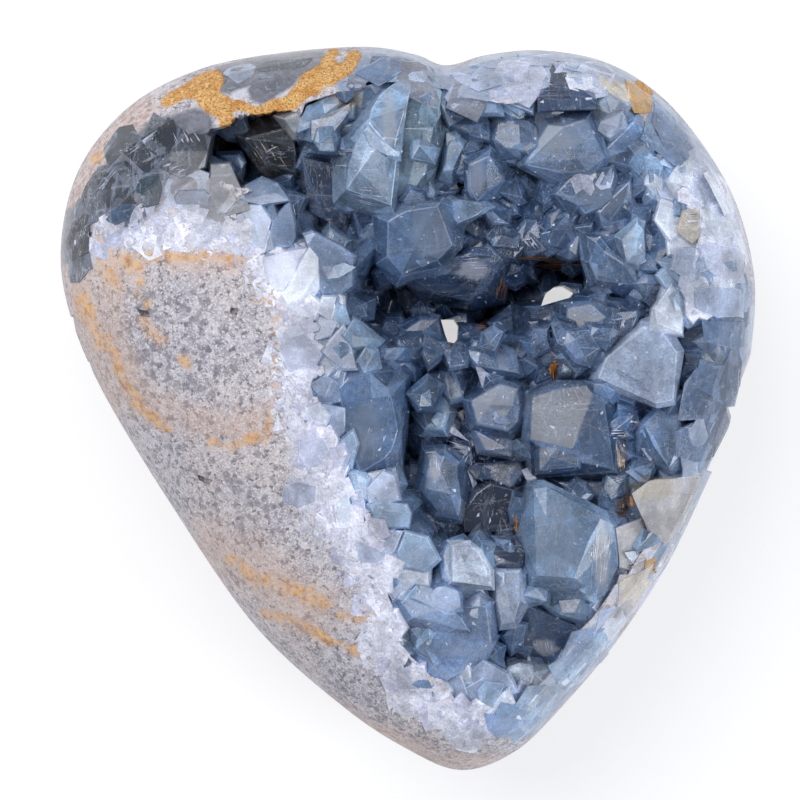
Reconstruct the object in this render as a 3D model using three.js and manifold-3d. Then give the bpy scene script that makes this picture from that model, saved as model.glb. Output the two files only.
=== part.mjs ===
// A polished celestite geode heart, lying on its back.
//
// The heart is one stone: a rind of grey marl, ground to a domed heart, round a hollow that is
// lined with blocky blue celestite crystals. The crystals have grown together into one crust,
// and where the crust meets the polished face it was ground flush with the rind.
//
// Millimetres, +Z up out of the hollow, +Y towards the lobes, origin under the middle of the back.

import * as THREE from "three";
import { ConvexGeometry } from "three/addons/geometries/ConvexGeometry.js";
import { mergeVertices } from "three/addons/utils/BufferGeometryUtils.js";
import Module from "manifold-3d";

const wasm = await Module();
wasm.setup();

// Driving dimensions.
const heartWidth = 100;
const rimHeight = 24; // the level where the heart is widest
const domeRise = 27; // from the rim to the top of the domed face
const backDrop = 25; // from the rim to the back, before its flat is ground
const domePower = 2.5; // over 2 is squarer than an ellipse
const backPower = 2.3;
const crustGap = 0.3; // between the rind and the crystals' crust

// The photograph that the crystals' places were read from, in pixels.
const heartPixels = 693;
const middlePixel = 408.5;
const pixel = heartWidth / heartPixels;

// The heart's outline, seen from above, from the notch clockwise.
const heartMiddle = [3, 4];
const heartOutline = [
  [5.4, 49.6], [11.2, 51.1], [19, 51.8], [28.2, 50.2], [35.9, 45.7], [42.1, 38.8], [47.2, 30.1],
  [49.9, 20], [49.8, 10.6], [48, 0.4], [43.5, -10], [37.4, -22.6], [29.7, -34.2], [22.2, -43.1],
  [15.4, -49.6], [7.7, -52.3], [-0.1, -49.3], [-9.6, -43], [-22.2, -31.4], [-34.3, -13.9],
  [-44.7, 3.4], [-49.5, 15.7], [-50.1, 25.5], [-47.2, 35.5], [-40.1, 43.9], [-30.1, 49.1],
  [-18.6, 51.4], [-6.3, 52.3], [0.9, 51.2],
];

// The hollow in the rind, where the crust is. The rind stays a few millimetres thick all round it.
const hollow = { level: 50, drop: 44.5, power: 3.2 };
const hollowMiddle = [13, 8];
const hollowOutline = [
  [-15.5, 42.6], [-9.2, 45.6], [-1.2, 47.6], [3.1, 46.7], [6.4, 45.6], [11.8, 44.2], [17.3, 44.2],
  [21.6, 46.4], [27.6, 46.2], [33.2, 43], [37.6, 38.4], [41.4, 32.4], [44.2, 26], [45.6, 18.6],
  [45, 10.6], [42.6, 2], [39, -6], [39.2, -9.4], [33.6, -20.4], [26.6, -30.6], [19.8, -38.6],
  [14.2, -44.4], [9, -43.8], [5.7, -40.6], [2.4, -38.2], [-1.4, -34.6], [-2.6, -26.6], [-7.7, -21.6],
  [-9.2, -15.4], [-10.9, -10.8], [-12.9, -5.8], [-15.4, -0.9], [-16.2, 5.6], [-16.2, 12],
  [-17.6, 16.4], [-21.4, 21.6], [-24.9, 25.6], [-25.1, 29.2], [-21.6, 31.4], [-16.6, 34],
];

// The dark pocket at the upper left, which opens into the hollow.
const pocket = { level: 44, drop: 24, power: 2.6 };
const pocketMiddle = [-22.1, 37.3];
const pocketOutline = [
  [-23.4, 31.5], [-26.5, 32.4], [-29.2, 33.6], [-29.8, 37], [-28.9, 39.8], [-26.4, 40.6],
  [-24.1, 42], [-20.7, 42.4], [-16.6, 42.8], [-13.4, 39.5], [-14.4, 33], [-19, 30.6],
];

// The open space, as dips below the domed face: middle and half lengths in pixels, turn in
// degrees, depth in mm, and how steep the walls are.
const dips = [
  { middle: [526, 340], half: [186, 290], turn: 0, depth: 7.5, steep: 8 },
  { middle: [395, 155], half: [105, 75], turn: 20, depth: 6, steep: 6 },
  { middle: [372, 425], half: [62, 66], turn: 0, depth: 6, steep: 6 },
  { middle: [490, 620], half: [112, 96], turn: -40, depth: 6, steep: 6 },
  { middle: [668, 380], half: [62, 110], turn: 0, depth: 4, steep: 5 },
  { middle: [430, 300], half: [88, 48], turn: -4, depth: 22, steep: 6 },
  { middle: [550, 290], half: [88, 44], turn: 8, depth: 16, steep: 4 },
  { middle: [500, 215], half: [165, 105], turn: 0, depth: 8, steep: 3 },
  { middle: [490, 445], half: [130, 125], turn: 0, depth: 13, steep: 3 },
  { middle: [540, 640], half: [60, 60], turn: 0, depth: 6, steep: 3 },
  { middle: [248, 154], half: [60, 42], turn: -10, depth: 21, steep: 4 },
  { middle: [325, 205], half: [46, 62], turn: 30, depth: 15, steep: 3 },
];
const crustProud = 1.5; // the dips start this far above the domed face
const floorLevel = 9; // the deepest floor

// The large crystals. corners is the outline of the head in the picture, in pixels; deep is how
// far in mm its middle lies below the domed face; look is how many degrees the flat head leans
// to the right and up; bevel is the share of the head that its slanted edge faces take.
const largeCrystals = [
  // the two lobes
  { deep: 2, look: [-14, 2], bevel: 0.19,
    corners: [[333, 167], [350, 140], [378, 105], [408, 82], [400, 130],
      [393, 190], [395, 217], [372, 213], [340, 197]] },
  { deep: 2.4, look: [10, -6], bevel: 0.19,
    corners: [[408, 82], [430, 86], [441, 97], [442, 130], [436, 165],
      [428, 182], [402, 212], [388, 195], [394, 130]] },
  { deep: 6, look: [6, -14], bevel: 0.15,
    corners: [[378, 218], [402, 206], [440, 203], [457, 217], [457, 247],
      [438, 262], [400, 279], [380, 262]] },
  { deep: 10, look: [-20, -20], bevel: 0.23,
    corners: [[350, 204], [372, 212], [377, 235], [377, 252], [370, 257], [360, 247]] },
  { deep: 6.5, look: [-5, 12], bevel: 0.23,
    corners: [[437, 138], [455, 131], [464, 145], [466, 163], [452, 185], [438, 180]] },
  { deep: 4.5, look: [10, 24], bevel: 0.19,
    corners: [[444, 92], [470, 90], [484, 103], [494, 125], [489, 141], [470, 136], [444, 129]] },
  { deep: 5, look: [-5, 14], bevel: 0.19,
    corners: [[495, 110], [535, 113], [540, 130], [540, 148], [520, 161], [500, 156], [492, 140]] },
  { deep: 7.5, look: [15, -20], bevel: 0.28,
    corners: [[468, 165], [490, 150], [500, 165], [505, 182], [490, 201], [476, 204], [468, 190]] },
  { deep: 8.5, look: [0, 30], bevel: 0.15,
    corners: [[446, 195], [480, 203], [487, 208], [480, 214], [457, 225], [446, 210]] },
  { deep: 4.5, look: [-4, 4], bevel: 0.13,
    corners: [[537, 112], [590, 114], [600, 132], [605, 158], [590, 176],
      [560, 183], [522, 166], [520, 158]] },
  { deep: 2, look: [4, 14], bevel: 0.15,
    corners: [[540, 92], [560, 84], [588, 92], [592, 112], [538, 110]] },
  { deep: 3, look: [12, -12], bevel: 0.19,
    corners: [[636, 118], [650, 118], [660, 148], [656, 162], [640, 170],
      [628, 168], [600, 160], [600, 150]] },
  { deep: 1.5, look: [4, 6], bevel: 0.23,
    corners: [[596, 88], [612, 80], [636, 98], [637, 130], [612, 146], [602, 135]] },
  { deep: 7, look: [8, -8], bevel: 0.19,
    corners: [[553, 195], [575, 172], [613, 165], [618, 190], [600, 206], [570, 218]] },
  { deep: 8, look: [10, -16], bevel: 0.23,
    corners: [[585, 215], [607, 192], [630, 180], [636, 205], [634, 222], [620, 240], [600, 228]] },
  { deep: 7, look: [-6, -10], bevel: 0.19,
    corners: [[578, 228], [618, 236], [645, 268], [640, 288], [620, 295], [592, 284], [584, 262]] },
  { deep: 4.5, look: [4, 6], bevel: 0.04,
    corners: [[620, 240], [636, 223], [643, 230], [645, 262], [637, 266], [626, 262]] },
  { deep: 1.8, look: [12, 4], bevel: 0.23,
    corners: [[640, 182], [660, 165], [688, 165], [690, 195], [670, 207], [650, 200]] },
  { deep: 1, look: [12, 10], bevel: 0.19,
    corners: [[652, 103], [663, 96], [690, 128], [686, 140], [668, 147], [656, 130]] },
  // the walls of the deep valley
  { deep: 13, look: [6, -36], bevel: 0.19,
    corners: [[406, 280], [440, 262], [470, 253], [500, 250], [505, 262],
      [498, 298], [470, 302], [430, 297]] },
  { deep: 14, look: [-10, -24], bevel: 0.28,
    corners: [[500, 235], [530, 232], [548, 250], [530, 262], [505, 265]] },
  { deep: 12, look: [0, -26], bevel: 0.23,
    corners: [[545, 222], [568, 212], [578, 230], [578, 252], [556, 262], [540, 248]] },
  { deep: 19, look: [-6, 26], bevel: 0.15,
    corners: [[505, 318], [520, 306], [545, 306], [575, 296], [578, 316], [548, 327], [505, 332]] },
  { deep: 13, look: [0, 6], bevel: 0.19,
    corners: [[400, 328], [420, 316], [438, 318], [446, 346], [430, 362], [415, 358], [402, 345]] },
  { deep: 12, look: [6, 26], bevel: 0.19,
    corners: [[350, 335], [372, 342], [385, 336], [402, 345], [405, 368], [380, 372], [356, 368]] },
  { deep: 9.5, look: [-12, -12], bevel: 0.15,
    corners: [[302, 158], [335, 166], [350, 203], [346, 238], [325, 236], [308, 215]] },
  { deep: 5, look: [-4, -10], bevel: 0.15,
    corners: [[300, 142], [335, 128], [352, 115], [372, 118], [368, 135], [350, 163], [305, 155]] },
  { deep: 1.6, look: [4, 10], bevel: 0.05,
    corners: [[312, 142], [312, 122], [332, 118], [350, 105], [352, 112], [335, 132], [322, 143]] },
  { deep: 7, look: [-8, -22], bevel: 0.28,
    corners: [[236, 136], [262, 121], [290, 127], [300, 150], [297, 175], [285, 183], [265, 165]] },
  { deep: 1.2, look: [4, -6], bevel: 0.19,
    corners: [[283, 120], [298, 113], [310, 122], [306, 138], [295, 135]] },
  // below the valley, left to right
  { deep: 1, look: [10, 12], bevel: 0.23,
    corners: [[240, 205], [250, 188], [265, 182], [281, 187], [290, 203],
      [295, 232], [280, 250], [262, 250]] },
  { deep: 0.6, look: [8, 0], bevel: 0.19,
    corners: [[297, 236], [314, 233], [350, 252], [355, 258], [352, 285],
      [342, 292], [325, 290], [305, 262]] },
  { deep: 0.8, look: [8, -8], bevel: 0.05,
    corners: [[330, 345], [347, 322], [350, 340], [356, 368], [350, 372], [325, 352]] },
  { deep: 1.4, look: [6, 8], bevel: 0.28,
    corners: [[305, 378], [312, 360], [322, 355], [345, 372], [338, 395], [318, 400]] },
  { deep: 2.6, look: [12, 0], bevel: 0.15,
    corners: [[335, 385], [345, 372], [370, 370], [395, 372], [407, 378], [399, 430],
      [398, 460], [388, 472], [360, 475], [335, 450]] },
  { deep: 14, look: [-12, 16], bevel: 0.28,
    corners: [[427, 378], [432, 362], [445, 352], [460, 350], [472, 360], [465, 400], [450, 405]] },
  { deep: 11.5, look: [4, 20], bevel: 0.28,
    corners: [[459, 349], [470, 338], [495, 335], [515, 348], [520, 362],
      [520, 375], [505, 380], [475, 366]] },
  { deep: 14.5, look: [-10, 18], bevel: 0.23,
    corners: [[522, 362], [540, 350], [553, 355], [555, 378], [540, 392], [524, 390]] },
  { deep: 7.5, look: [-8, 10], bevel: 0.15,
    corners: [[556, 330], [565, 307], [590, 301], [635, 304], [640, 315],
      [620, 350], [600, 376], [558, 376]] },
  { deep: 3.2, look: [3, 4], bevel: 0.03,
    corners: [[604, 358], [640, 325], [648, 324], [661, 332], [677, 352],
      [673, 402], [655, 404], [597, 378]] },
  { deep: 1.4, look: [14, 2], bevel: 0.15,
    corners: [[682, 352], [700, 342], [738, 345], [742, 368], [732, 388],
      [716, 412], [700, 425], [684, 405]] },
  { deep: 5, look: [0, -12], bevel: 0.23,
    corners: [[630, 292], [648, 280], [665, 275], [676, 285], [672, 302], [655, 308]] },
  { deep: 12.5, look: [-10, 20], bevel: 0.28,
    corners: [[415, 412], [430, 392], [446, 396], [450, 412], [444, 430], [425, 430]] },
  { deep: 10.5, look: [-5, 8], bevel: 0.19,
    corners: [[467, 400], [478, 388], [500, 382], [520, 385], [525, 405],
      [520, 425], [508, 432], [475, 425]] },
  { deep: 6.5, look: [-4, 4], bevel: 0.19,
    corners: [[528, 395], [556, 380], [598, 380], [610, 400], [614, 445],
      [616, 472], [570, 477], [532, 478], [525, 440]] },
  { deep: 8, look: [4, 8], bevel: 0.15,
    corners: [[598, 404], [610, 402], [645, 407], [640, 425], [625, 438], [605, 430]] },
  { deep: 2.5, look: [8, 4], bevel: 0.23,
    corners: [[630, 440], [642, 425], [658, 408], [680, 405], [690, 425],
      [699, 450], [699, 470], [668, 470], [638, 455]] },
  { deep: 10, look: [-5, 0], bevel: 0.19,
    corners: [[425, 452], [445, 450], [460, 462], [462, 500], [460, 520], [435, 515], [420, 490]] },
  { deep: 11.5, look: [0, 16], bevel: 0.19,
    corners: [[473, 430], [500, 432], [518, 442], [512, 458], [480, 452]] },
  { deep: 13, look: [0, 12], bevel: 0.23,
    corners: [[462, 468], [480, 457], [520, 457], [526, 472], [512, 488], [480, 488]] },
  { deep: 11.5, look: [0, 12], bevel: 0.05,
    corners: [[463, 533], [463, 512], [475, 491], [490, 483], [515, 490], [519, 505], [513, 533]] },
  { deep: 1.6, look: [10, -5], bevel: 0.28,
    corners: [[367, 488], [378, 475], [388, 470], [396, 475], [400, 500], [393, 515], [375, 510]] },
  { deep: 1.2, look: [4, 4], bevel: 0.28,
    corners: [[362, 512], [385, 502], [405, 507], [410, 522], [400, 538], [370, 535]] },
  { deep: 0.8, look: [4, 6], bevel: 0.19,
    corners: [[364, 560], [378, 538], [410, 532], [432, 542], [438, 556], [420, 575], [395, 582]] },
  { deep: 7, look: [4, 6], bevel: 0.23,
    corners: [[556, 481], [610, 481], [612, 498], [592, 506], [572, 498]] },
  // the tip
  { deep: 2, look: [-4, -2], bevel: 0.15,
    corners: [[520, 535], [524, 505], [531, 486], [545, 484], [580, 505], [598, 514],
      [610, 524], [610, 560], [600, 590], [527, 588]] },
  { deep: 4.2, look: [0, -26], bevel: 0.05,
    corners: [[528, 588], [602, 590], [603, 604], [584, 621], [560, 614], [540, 602]] },
  { deep: 0.8, look: [-8, 6], bevel: 0.15,
    corners: [[393, 592], [412, 577], [432, 573], [462, 588], [470, 630], [440, 634], [404, 622]] },
  { deep: 0.9, look: [-2, -6], bevel: 0.15,
    corners: [[404, 652], [430, 626], [460, 598], [490, 600], [491, 640],
      [480, 662], [445, 679], [425, 672]] },
  { deep: 2.4, look: [16, 24], bevel: 0.04,
    corners: [[450, 542], [470, 544], [480, 552], [490, 568], [491, 585], [452, 580]] },
  { deep: 3.4, look: [-16, 14], bevel: 0.11,
    corners: [[437, 556], [448, 542], [453, 560], [454, 582], [442, 578]] },
  { deep: 3, look: [0, 2], bevel: 0.04,
    corners: [[494, 570], [520, 569], [519, 600], [514, 620], [500, 624], [495, 600]] },
  { deep: 6, look: [0, 30], bevel: 0.15,
    corners: [[487, 552], [500, 538], [515, 535], [527, 547], [520, 567], [493, 568]] },
  { deep: 6, look: [8, -18], bevel: 0.19,
    corners: [[500, 645], [506, 626], [525, 602], [560, 614], [578, 626],
      [588, 642], [578, 662], [562, 678], [520, 668]] },
  { deep: 1.4, look: [6, -8], bevel: 0.3,
    corners: [[504, 680], [512, 668], [530, 662], [550, 668], [556, 685],
      [550, 705], [532, 718], [510, 700]] },
  { deep: 0.8, look: [-4, -8], bevel: 0.15,
    corners: [[482, 712], [492, 692], [502, 687], [512, 703], [516, 716], [500, 720]] },
  { deep: 0.8, look: [10, -4], bevel: 0.19,
    corners: [[630, 510], [634, 494], [648, 483], [668, 476], [690, 480],
      [684, 508], [666, 538], [650, 530]] },
  { deep: 2.2, look: [8, 0], bevel: 0.23,
    corners: [[615, 527], [640, 520], [652, 532], [652, 558], [636, 570], [620, 566], [612, 550]] },
  { deep: 1.4, look: [10, -6], bevel: 0.23,
    corners: [[590, 622], [600, 606], [614, 602], [616, 615], [608, 634], [595, 642]] },
];

// Small crystals fill the gaps between the large ones.
const smallRow = 10; // mm between their rows
const smallReach = [2.8, 5]; // from a head's middle to its corners
const smallRise = [1.4, 3.4]; // of a head over the floor
const smallClear = 3; // from the middle of a small crystal to that of a large one
const valleyDepth = 20; // deeper than this the floor is bare

// Every crystal widens towards its root.
const rootSpread = 1.14;
const rootLength = 15;

// Two gaps at the bottom of the hollow go right through the stone.
const throughHoles = [
  [[440.5, 319], [454, 319], [458.5, 326], [457.5, 339], [450, 348.5], [445, 335]],
  [[541, 306], [545.5, 294], [555, 286.5], [564, 285.5], [575, 292], [570.5, 297.5], [551, 303]],
];

// Where crystals and marl broke off the edge: the line of the break in the picture, between two
// heights in mm. The stone beyond the line is gone.
const breaks = [
  { low: 9, high: 38,
    line: [[757, 349], [748, 352], [733, 388], [712, 426], [702, 447], [703, 469], [720, 474]] },
  { low: 8, high: 33, line: [[80, 360], [93, 362], [99, 382], [88, 392]] },
  { low: 9, high: 35, line: [[60, 314], [78, 318], [81, 345], [66, 352]] },
];
const breakSpread = 1.03; // a break's foot lies this much farther out than its top

const place = ([x, y]) => [(x - middlePixel) * pixel, (middlePixel - y) * pixel];
const radians = THREE.MathUtils.degToRad;

// A fixed number from 0 to 1 for each pair of whole numbers.
function chance(row, column) {
  const s = Math.sin(row * 127.1 + column * 311.7) * 43758.5453;
  return s - Math.floor(s);
}

function solidFrom(geometry) {
  const bare = new THREE.BufferGeometry().setAttribute("position", geometry.getAttribute("position"));
  if (geometry.index) bare.setIndex(geometry.index);
  const merged = mergeVertices(bare, 1e-4);
  return new wasm.Manifold(
    new wasm.Mesh({
      numProp: 3,
      vertProperties: new Float32Array(merged.attributes.position.array),
      triVerts: new Uint32Array(merged.index.array),
    }),
  );
}

function geometryFrom(solid) {
  const mesh = solid.getMesh();
  const geometry = new THREE.BufferGeometry();
  geometry.setAttribute("position", new THREE.BufferAttribute(mesh.vertProperties, 3));
  geometry.setIndex(new THREE.BufferAttribute(mesh.triVerts, 1));
  return geometry;
}

// The distance from a middle to a closed smooth outline, by angle.
function reachOf(outline, middle, inset = 0) {
  const points = outline.map(([x, y]) => new THREE.Vector3(x - middle[0], y - middle[1], 0));
  const polar = new THREE.CatmullRomCurve3(points, true, "catmullrom", 0.5)
    .getPoints(outline.length * 8)
    .slice(1)
    .map((p) => ({ angle: Math.atan2(p.y, p.x), reach: Math.hypot(p.x, p.y) - inset }))
    .sort((a, b) => a.angle - b.angle);
  const first = polar[0];
  const last = polar[polar.length - 1];
  polar.unshift({ angle: last.angle - 2 * Math.PI, reach: last.reach });
  polar.push({ angle: first.angle + 2 * Math.PI, reach: first.reach });
  return (angle) => {
    const i = polar.findIndex((p) => p.angle > angle);
    const [a, b] = [polar[i - 1], polar[i]];
    return THREE.MathUtils.lerp(a.reach, b.reach, (angle - a.angle) / (b.angle - a.angle));
  };
}

// A cushion: a ball stretched to the outline, with its own rise and drop from one level.
function cushion(reach, middle, { level, rise, drop, upPower, downPower, detail }) {
  const geometry = new THREE.IcosahedronGeometry(1, detail);
  const position = geometry.getAttribute("position");
  const p = new THREE.Vector3();
  for (let i = 0; i < position.count; i++) {
    p.fromBufferAttribute(position, i).normalize();
    const angle = Math.atan2(p.y, p.x);
    const power = p.z >= 0 ? upPower : downPower;
    const height = p.z >= 0 ? rise : drop;
    const out = reach(angle) * Math.hypot(p.x, p.y) ** (2 / power);
    const up = Math.sign(p.z) * height * Math.abs(p.z) ** (2 / power);
    position.setXYZ(i, middle[0] + out * Math.cos(angle), middle[1] + out * Math.sin(angle), level + up);
  }
  return solidFrom(geometry);
}

const heartReach = reachOf(heartOutline, heartMiddle);

// The height of the domed face over a point, level near the rim so that it never dives.
function domeAt(x, y) {
  const dx = x - heartMiddle[0];
  const dy = y - heartMiddle[1];
  const share = Math.min(Math.hypot(dx, dy) / heartReach(Math.atan2(dy, dx)), 0.96);
  return rimHeight + domeRise * (1 - share ** domePower) ** (1 / domePower);
}

// How far the dips take the floor of the open space down.
function dipAt(x, y) {
  let depth = 0;
  for (const dip of dips) {
    const [mx, my] = place(dip.middle);
    const turn = radians(dip.turn);
    const along = (x - mx) * Math.cos(turn) + (y - my) * Math.sin(turn);
    const across = (y - my) * Math.cos(turn) - (x - mx) * Math.sin(turn);
    const share = Math.hypot(along / (dip.half[0] * pixel), across / (dip.half[1] * pixel));
    if (share < 1) depth += dip.depth * (1 - share ** dip.steep);
  }
  return depth;
}

const floorAt = (x, y) => Math.max(domeAt(x, y) + crustProud - dipAt(x, y), floorLevel);

// A crystal over its head's outline: a flat head that leans with slopes, slanted faces round it,
// some wide and most narrow, and sides that spread towards the root.
function crystal(outline, [x, y, z], slopes, bevel, seed) {
  const points = [];
  outline.forEach(([dx, dy], i) => {
    const cut = bevel * (0.3 + 3 * chance(seed, i) ** 2);
    const fall = slopes[0] * dx + slopes[1] * dy;
    points.push(new THREE.Vector3(x + dx * (1 - cut), y + dy * (1 - cut), z - fall * (1 - cut)));
    if (cut > 0) points.push(new THREE.Vector3(x + dx, y + dy, z - fall - 1.3 * cut * Math.hypot(dx, dy)));
    points.push(new THREE.Vector3(x + dx * rootSpread, y + dy * rootSpread, z - rootLength));
  });
  return solidFrom(new ConvexGeometry(points));
}

const middleOf = (corners) =>
  [0, 1].map((axis) => corners.reduce((sum, corner) => sum + place(corner)[axis], 0) / corners.length);

function largeCrystal({ corners, deep, look, bevel }, seed) {
  const [x, y] = middleOf(corners);
  const around = corners.map(place).map((corner) => [corner[0] - x, corner[1] - y]);
  const slopes = look.map((angle) => Math.tan(radians(angle)));
  return crystal(around, [x, y, domeAt(x, y) - deep], slopes, bevel, seed);
}

// How the floor of the open space slopes down to the right and to the top of the picture.
function floorSlopes(x, y) {
  const step = 0.5;
  return [
    (floorAt(x - step, y) - floorAt(x + step, y)) / (2 * step),
    (floorAt(x, y - step) - floorAt(x, y + step)) / (2 * step),
  ];
}

// An uneven head with five or six corners.
function unevenOutline(seed) {
  const sides = 5 + Math.floor(2 * chance(seed, 3));
  return Array.from({ length: sides }, (_, side) => {
    const angle = ((side + 0.7 * chance(seed, 20 + side)) / sides) * 2 * Math.PI;
    const reach = THREE.MathUtils.lerp(...smallReach, chance(seed, 10 + side));
    return [reach * Math.cos(angle), reach * Math.sin(angle)];
  });
}

// A staggered field of small crystals over the floor between the large ones, each leaning with
// the slope there.
function smallCrystals() {
  const middles = largeCrystals.map(({ corners }) => middleOf(corners));
  const made = [];
  let seed = 100;
  for (let row = -46; row < 46; row += smallRow) {
    for (let column = -34; column < 46; column += smallRow) {
      seed += 1;
      const x = column + smallRow * (chance(seed, 1) - 0.5) * 0.9;
      const y = row + smallRow * (chance(seed, 2) - 0.5) * 0.9;
      if (dipAt(x, y) < 2 * crustProud || dipAt(x, y) > valleyDepth) continue;
      if (middles.some((middle) => Math.hypot(x - middle[0], y - middle[1]) < smallClear)) continue;
      const slopes = floorSlopes(x, y).map(
        (slope, i) => THREE.MathUtils.clamp(slope, -1, 1) * 0.6 + 0.8 * (chance(seed, 5 + i) - 0.5),
      );
      const z = floorAt(x, y) + THREE.MathUtils.lerp(...smallRise, chance(seed, 7));
      made.push(crystal(unevenOutline(seed), [x, y, z], slopes, 0, seed));
    }
  }
  return made;
}

// The open space over the floor, as a block whose underside follows the dips in uneven facets.
function openSpace() {
  const [across, along, top] = [96, 104, 80];
  const cells = [17, 19]; // facets across and along
  const shift = 3.6; // mm that a facet's corner may be out of line
  const block = new THREE.BoxGeometry(across, along, top, ...cells, 1);
  const position = block.getAttribute("position");
  for (let i = 0; i < position.count; i++) {
    let [x, y] = [position.getX(i), position.getY(i)];
    const inside = Math.abs(x) < across / 2 - 1 && Math.abs(y) < along / 2 - 1;
    if (position.getZ(i) > 0) {
      position.setZ(i, top);
    } else if (inside) {
      x += shift * (chance(i, 1) - 0.5);
      y += shift * (chance(i, 2) - 0.5);
      position.setXYZ(i, x, y, floorAt(x, y) + 0.6 * shift * (chance(i, 3) - 0.5));
    } else {
      position.setZ(i, floorAt(x, y));
    }
  }
  return solidFrom(block);
}

function throughHole(corners) {
  const shape = new THREE.Shape(corners.map((corner) => new THREE.Vector2(...place(corner))));
  const gap = new THREE.ExtrudeGeometry(shape, { depth: 90, bevelEnabled: false });
  return solidFrom(gap.translate(0, 0, -2));
}

// The space beyond a break, which slopes outwards to its foot.
function beyondBreak({ line, low, high }) {
  const inner = line.map(place);
  const pushed = (point, spread) =>
    point.map((value, axis) => heartMiddle[axis] + (value - heartMiddle[axis]) * spread);
  const corners = [...inner, pushed(inner.at(-1), 1.3), pushed(inner[0], 1.3)];
  const shape = new THREE.Shape(corners.map(([x, y]) => new THREE.Vector2(x, y)));
  const space = new THREE.ExtrudeGeometry(shape, { depth: high - low, bevelEnabled: false });
  space.translate(0, 0, low);
  const position = space.getAttribute("position");
  for (let i = 0; i < position.count; i++) {
    const spread = position.getZ(i) < (low + high) / 2 ? breakSpread : 1;
    position.setXY(i, ...pushed([position.getX(i), position.getY(i)], spread));
  }
  return solidFrom(space);
}

// The ground and polished heart, with the flat on its back at height 0.
function polishedHeart() {
  const domed = cushion(heartReach, heartMiddle, {
    level: rimHeight, rise: domeRise, drop: backDrop, upPower: domePower, downPower: backPower, detail: 8,
  });
  return breaks.reduce((solid, edge) => solid.subtract(beyondBreak(edge)), domed.trimByPlane([0, 0, 1], 0));
}

function hollowSpace(inset) {
  const bowl = (outline, middle, { level, drop, power }, detail) =>
    cushion(reachOf(outline, middle, inset), middle, {
      level, rise: 30, drop: drop - inset, upPower: 8, downPower: power, detail,
    });
  return bowl(hollowOutline, hollowMiddle, hollow, 6).add(bowl(pocketOutline, pocketMiddle, pocket, 3));
}

const heart = polishedHeart();
const holes = throughHoles.map(throughHole).reduce((all, hole) => all.add(hole));
const rindSolid = heart.subtract(hollowSpace(0)).subtract(holes);

const crystals = [...largeCrystals.map(largeCrystal), ...smallCrystals()];
const crustSolid = crystals
  .reduce((crust, one) => crust.add(one), hollowSpace(crustGap).subtract(openSpace()))
  .intersect(hollowSpace(crustGap))
  .intersect(heart)
  .subtract(holes);

// The largest body of a solid: crumbs that a cut leaves loose are dropped.
function largestBody(solid) {
  return solid.decompose().reduce((best, body) => (body.volume() > best.volume() ? body : best));
}

const rind = new THREE.Mesh(
  geometryFrom(largestBody(rindSolid)),
  new THREE.MeshStandardMaterial({ color: 0xb5afb4, roughness: 0.38, metalness: 0 }),
);
rind.name = "marl_rind";

const crust = new THREE.Mesh(
  geometryFrom(largestBody(crustSolid)),
  new THREE.MeshStandardMaterial({ color: 0x6f86a8, roughness: 0.2, metalness: 0 }),
);
crust.name = "celestite_crust";

const stone = new THREE.Group();
stone.add(rind, crust);

export default stone;
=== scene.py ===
import math
from random import Random

import bmesh
import bpy
import numpy as np
from mathutils import Matrix, Vector, noise
from mathutils.bvhtree import BVHTree


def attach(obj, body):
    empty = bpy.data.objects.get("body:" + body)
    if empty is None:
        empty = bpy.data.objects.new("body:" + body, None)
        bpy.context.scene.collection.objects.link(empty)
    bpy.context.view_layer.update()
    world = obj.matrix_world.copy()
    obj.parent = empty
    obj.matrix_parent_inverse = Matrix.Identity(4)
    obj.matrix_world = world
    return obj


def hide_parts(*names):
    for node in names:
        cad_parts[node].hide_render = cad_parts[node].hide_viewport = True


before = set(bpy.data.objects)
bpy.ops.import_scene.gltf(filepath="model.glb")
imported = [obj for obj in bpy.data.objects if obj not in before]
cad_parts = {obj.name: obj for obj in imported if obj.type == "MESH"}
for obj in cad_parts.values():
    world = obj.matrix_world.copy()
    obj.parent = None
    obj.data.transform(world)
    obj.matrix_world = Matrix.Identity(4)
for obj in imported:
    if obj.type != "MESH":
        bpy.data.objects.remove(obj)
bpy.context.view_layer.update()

# The camera looks straight down on the heart as it lies on its back, from so far that a pixel of
# the photograph stands for the same length all over the stone.
mm = 0.001
heart_width = 100 * mm
heart_pixels = 693
middle_pixel = 408.5
pixel = heart_width / heart_pixels
picture_pixels = 800
picture_level = 30 * mm  # the height at which the picture has its exact scale
camera_height = 2.4
sensor_width = 36  # in mm, as Blender counts it


def spot(px, py):
    """The place on the stone, seen from above, that a pixel of the photograph shows."""
    return Vector(((px - middle_pixel) * pixel, (middle_pixel - py) * pixel))


def spots(corners):
    return [spot(*corner) for corner in corners]


def middle_of(places):
    return sum(places, Vector((0, 0))) / len(places)


camera_data = bpy.data.cameras.new("camera")
camera_data.sensor_width = sensor_width
camera_data.lens = sensor_width * (camera_height - picture_level) / (picture_pixels * pixel)
camera_data.clip_end = 20
camera = bpy.data.objects.new("camera", camera_data)
camera.location = (*spot(picture_pixels / 2, picture_pixels / 2), camera_height)
bpy.context.scene.collection.objects.link(camera)
bpy.context.scene.camera = camera

# The floor is a plain white table, and the light is that of a studio tent: a pale sky all round,
# a large soft lamp at the upper left and a smaller one low on the right.


def plug(tree, node, values):
    """Gives a node's inputs their values, or links them to what another node puts out. They are
    known by number or by name, with _ for a space."""
    for key, value in values.items():
        socket = node.inputs[key.replace("_", " ") if isinstance(key, str) else key]
        if isinstance(value, bpy.types.NodeSocket):
            tree.links.new(value, socket)
        else:
            socket.default_value = value


def new_material(name, **constants):
    """A material with constants for its shader, its node tree and the shader itself."""
    material = bpy.data.materials.new(name)
    material.use_nodes = True
    shader = material.node_tree.nodes["Principled BSDF"]
    plug(material.node_tree, shader, constants)
    return material, material.node_tree, shader


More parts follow.
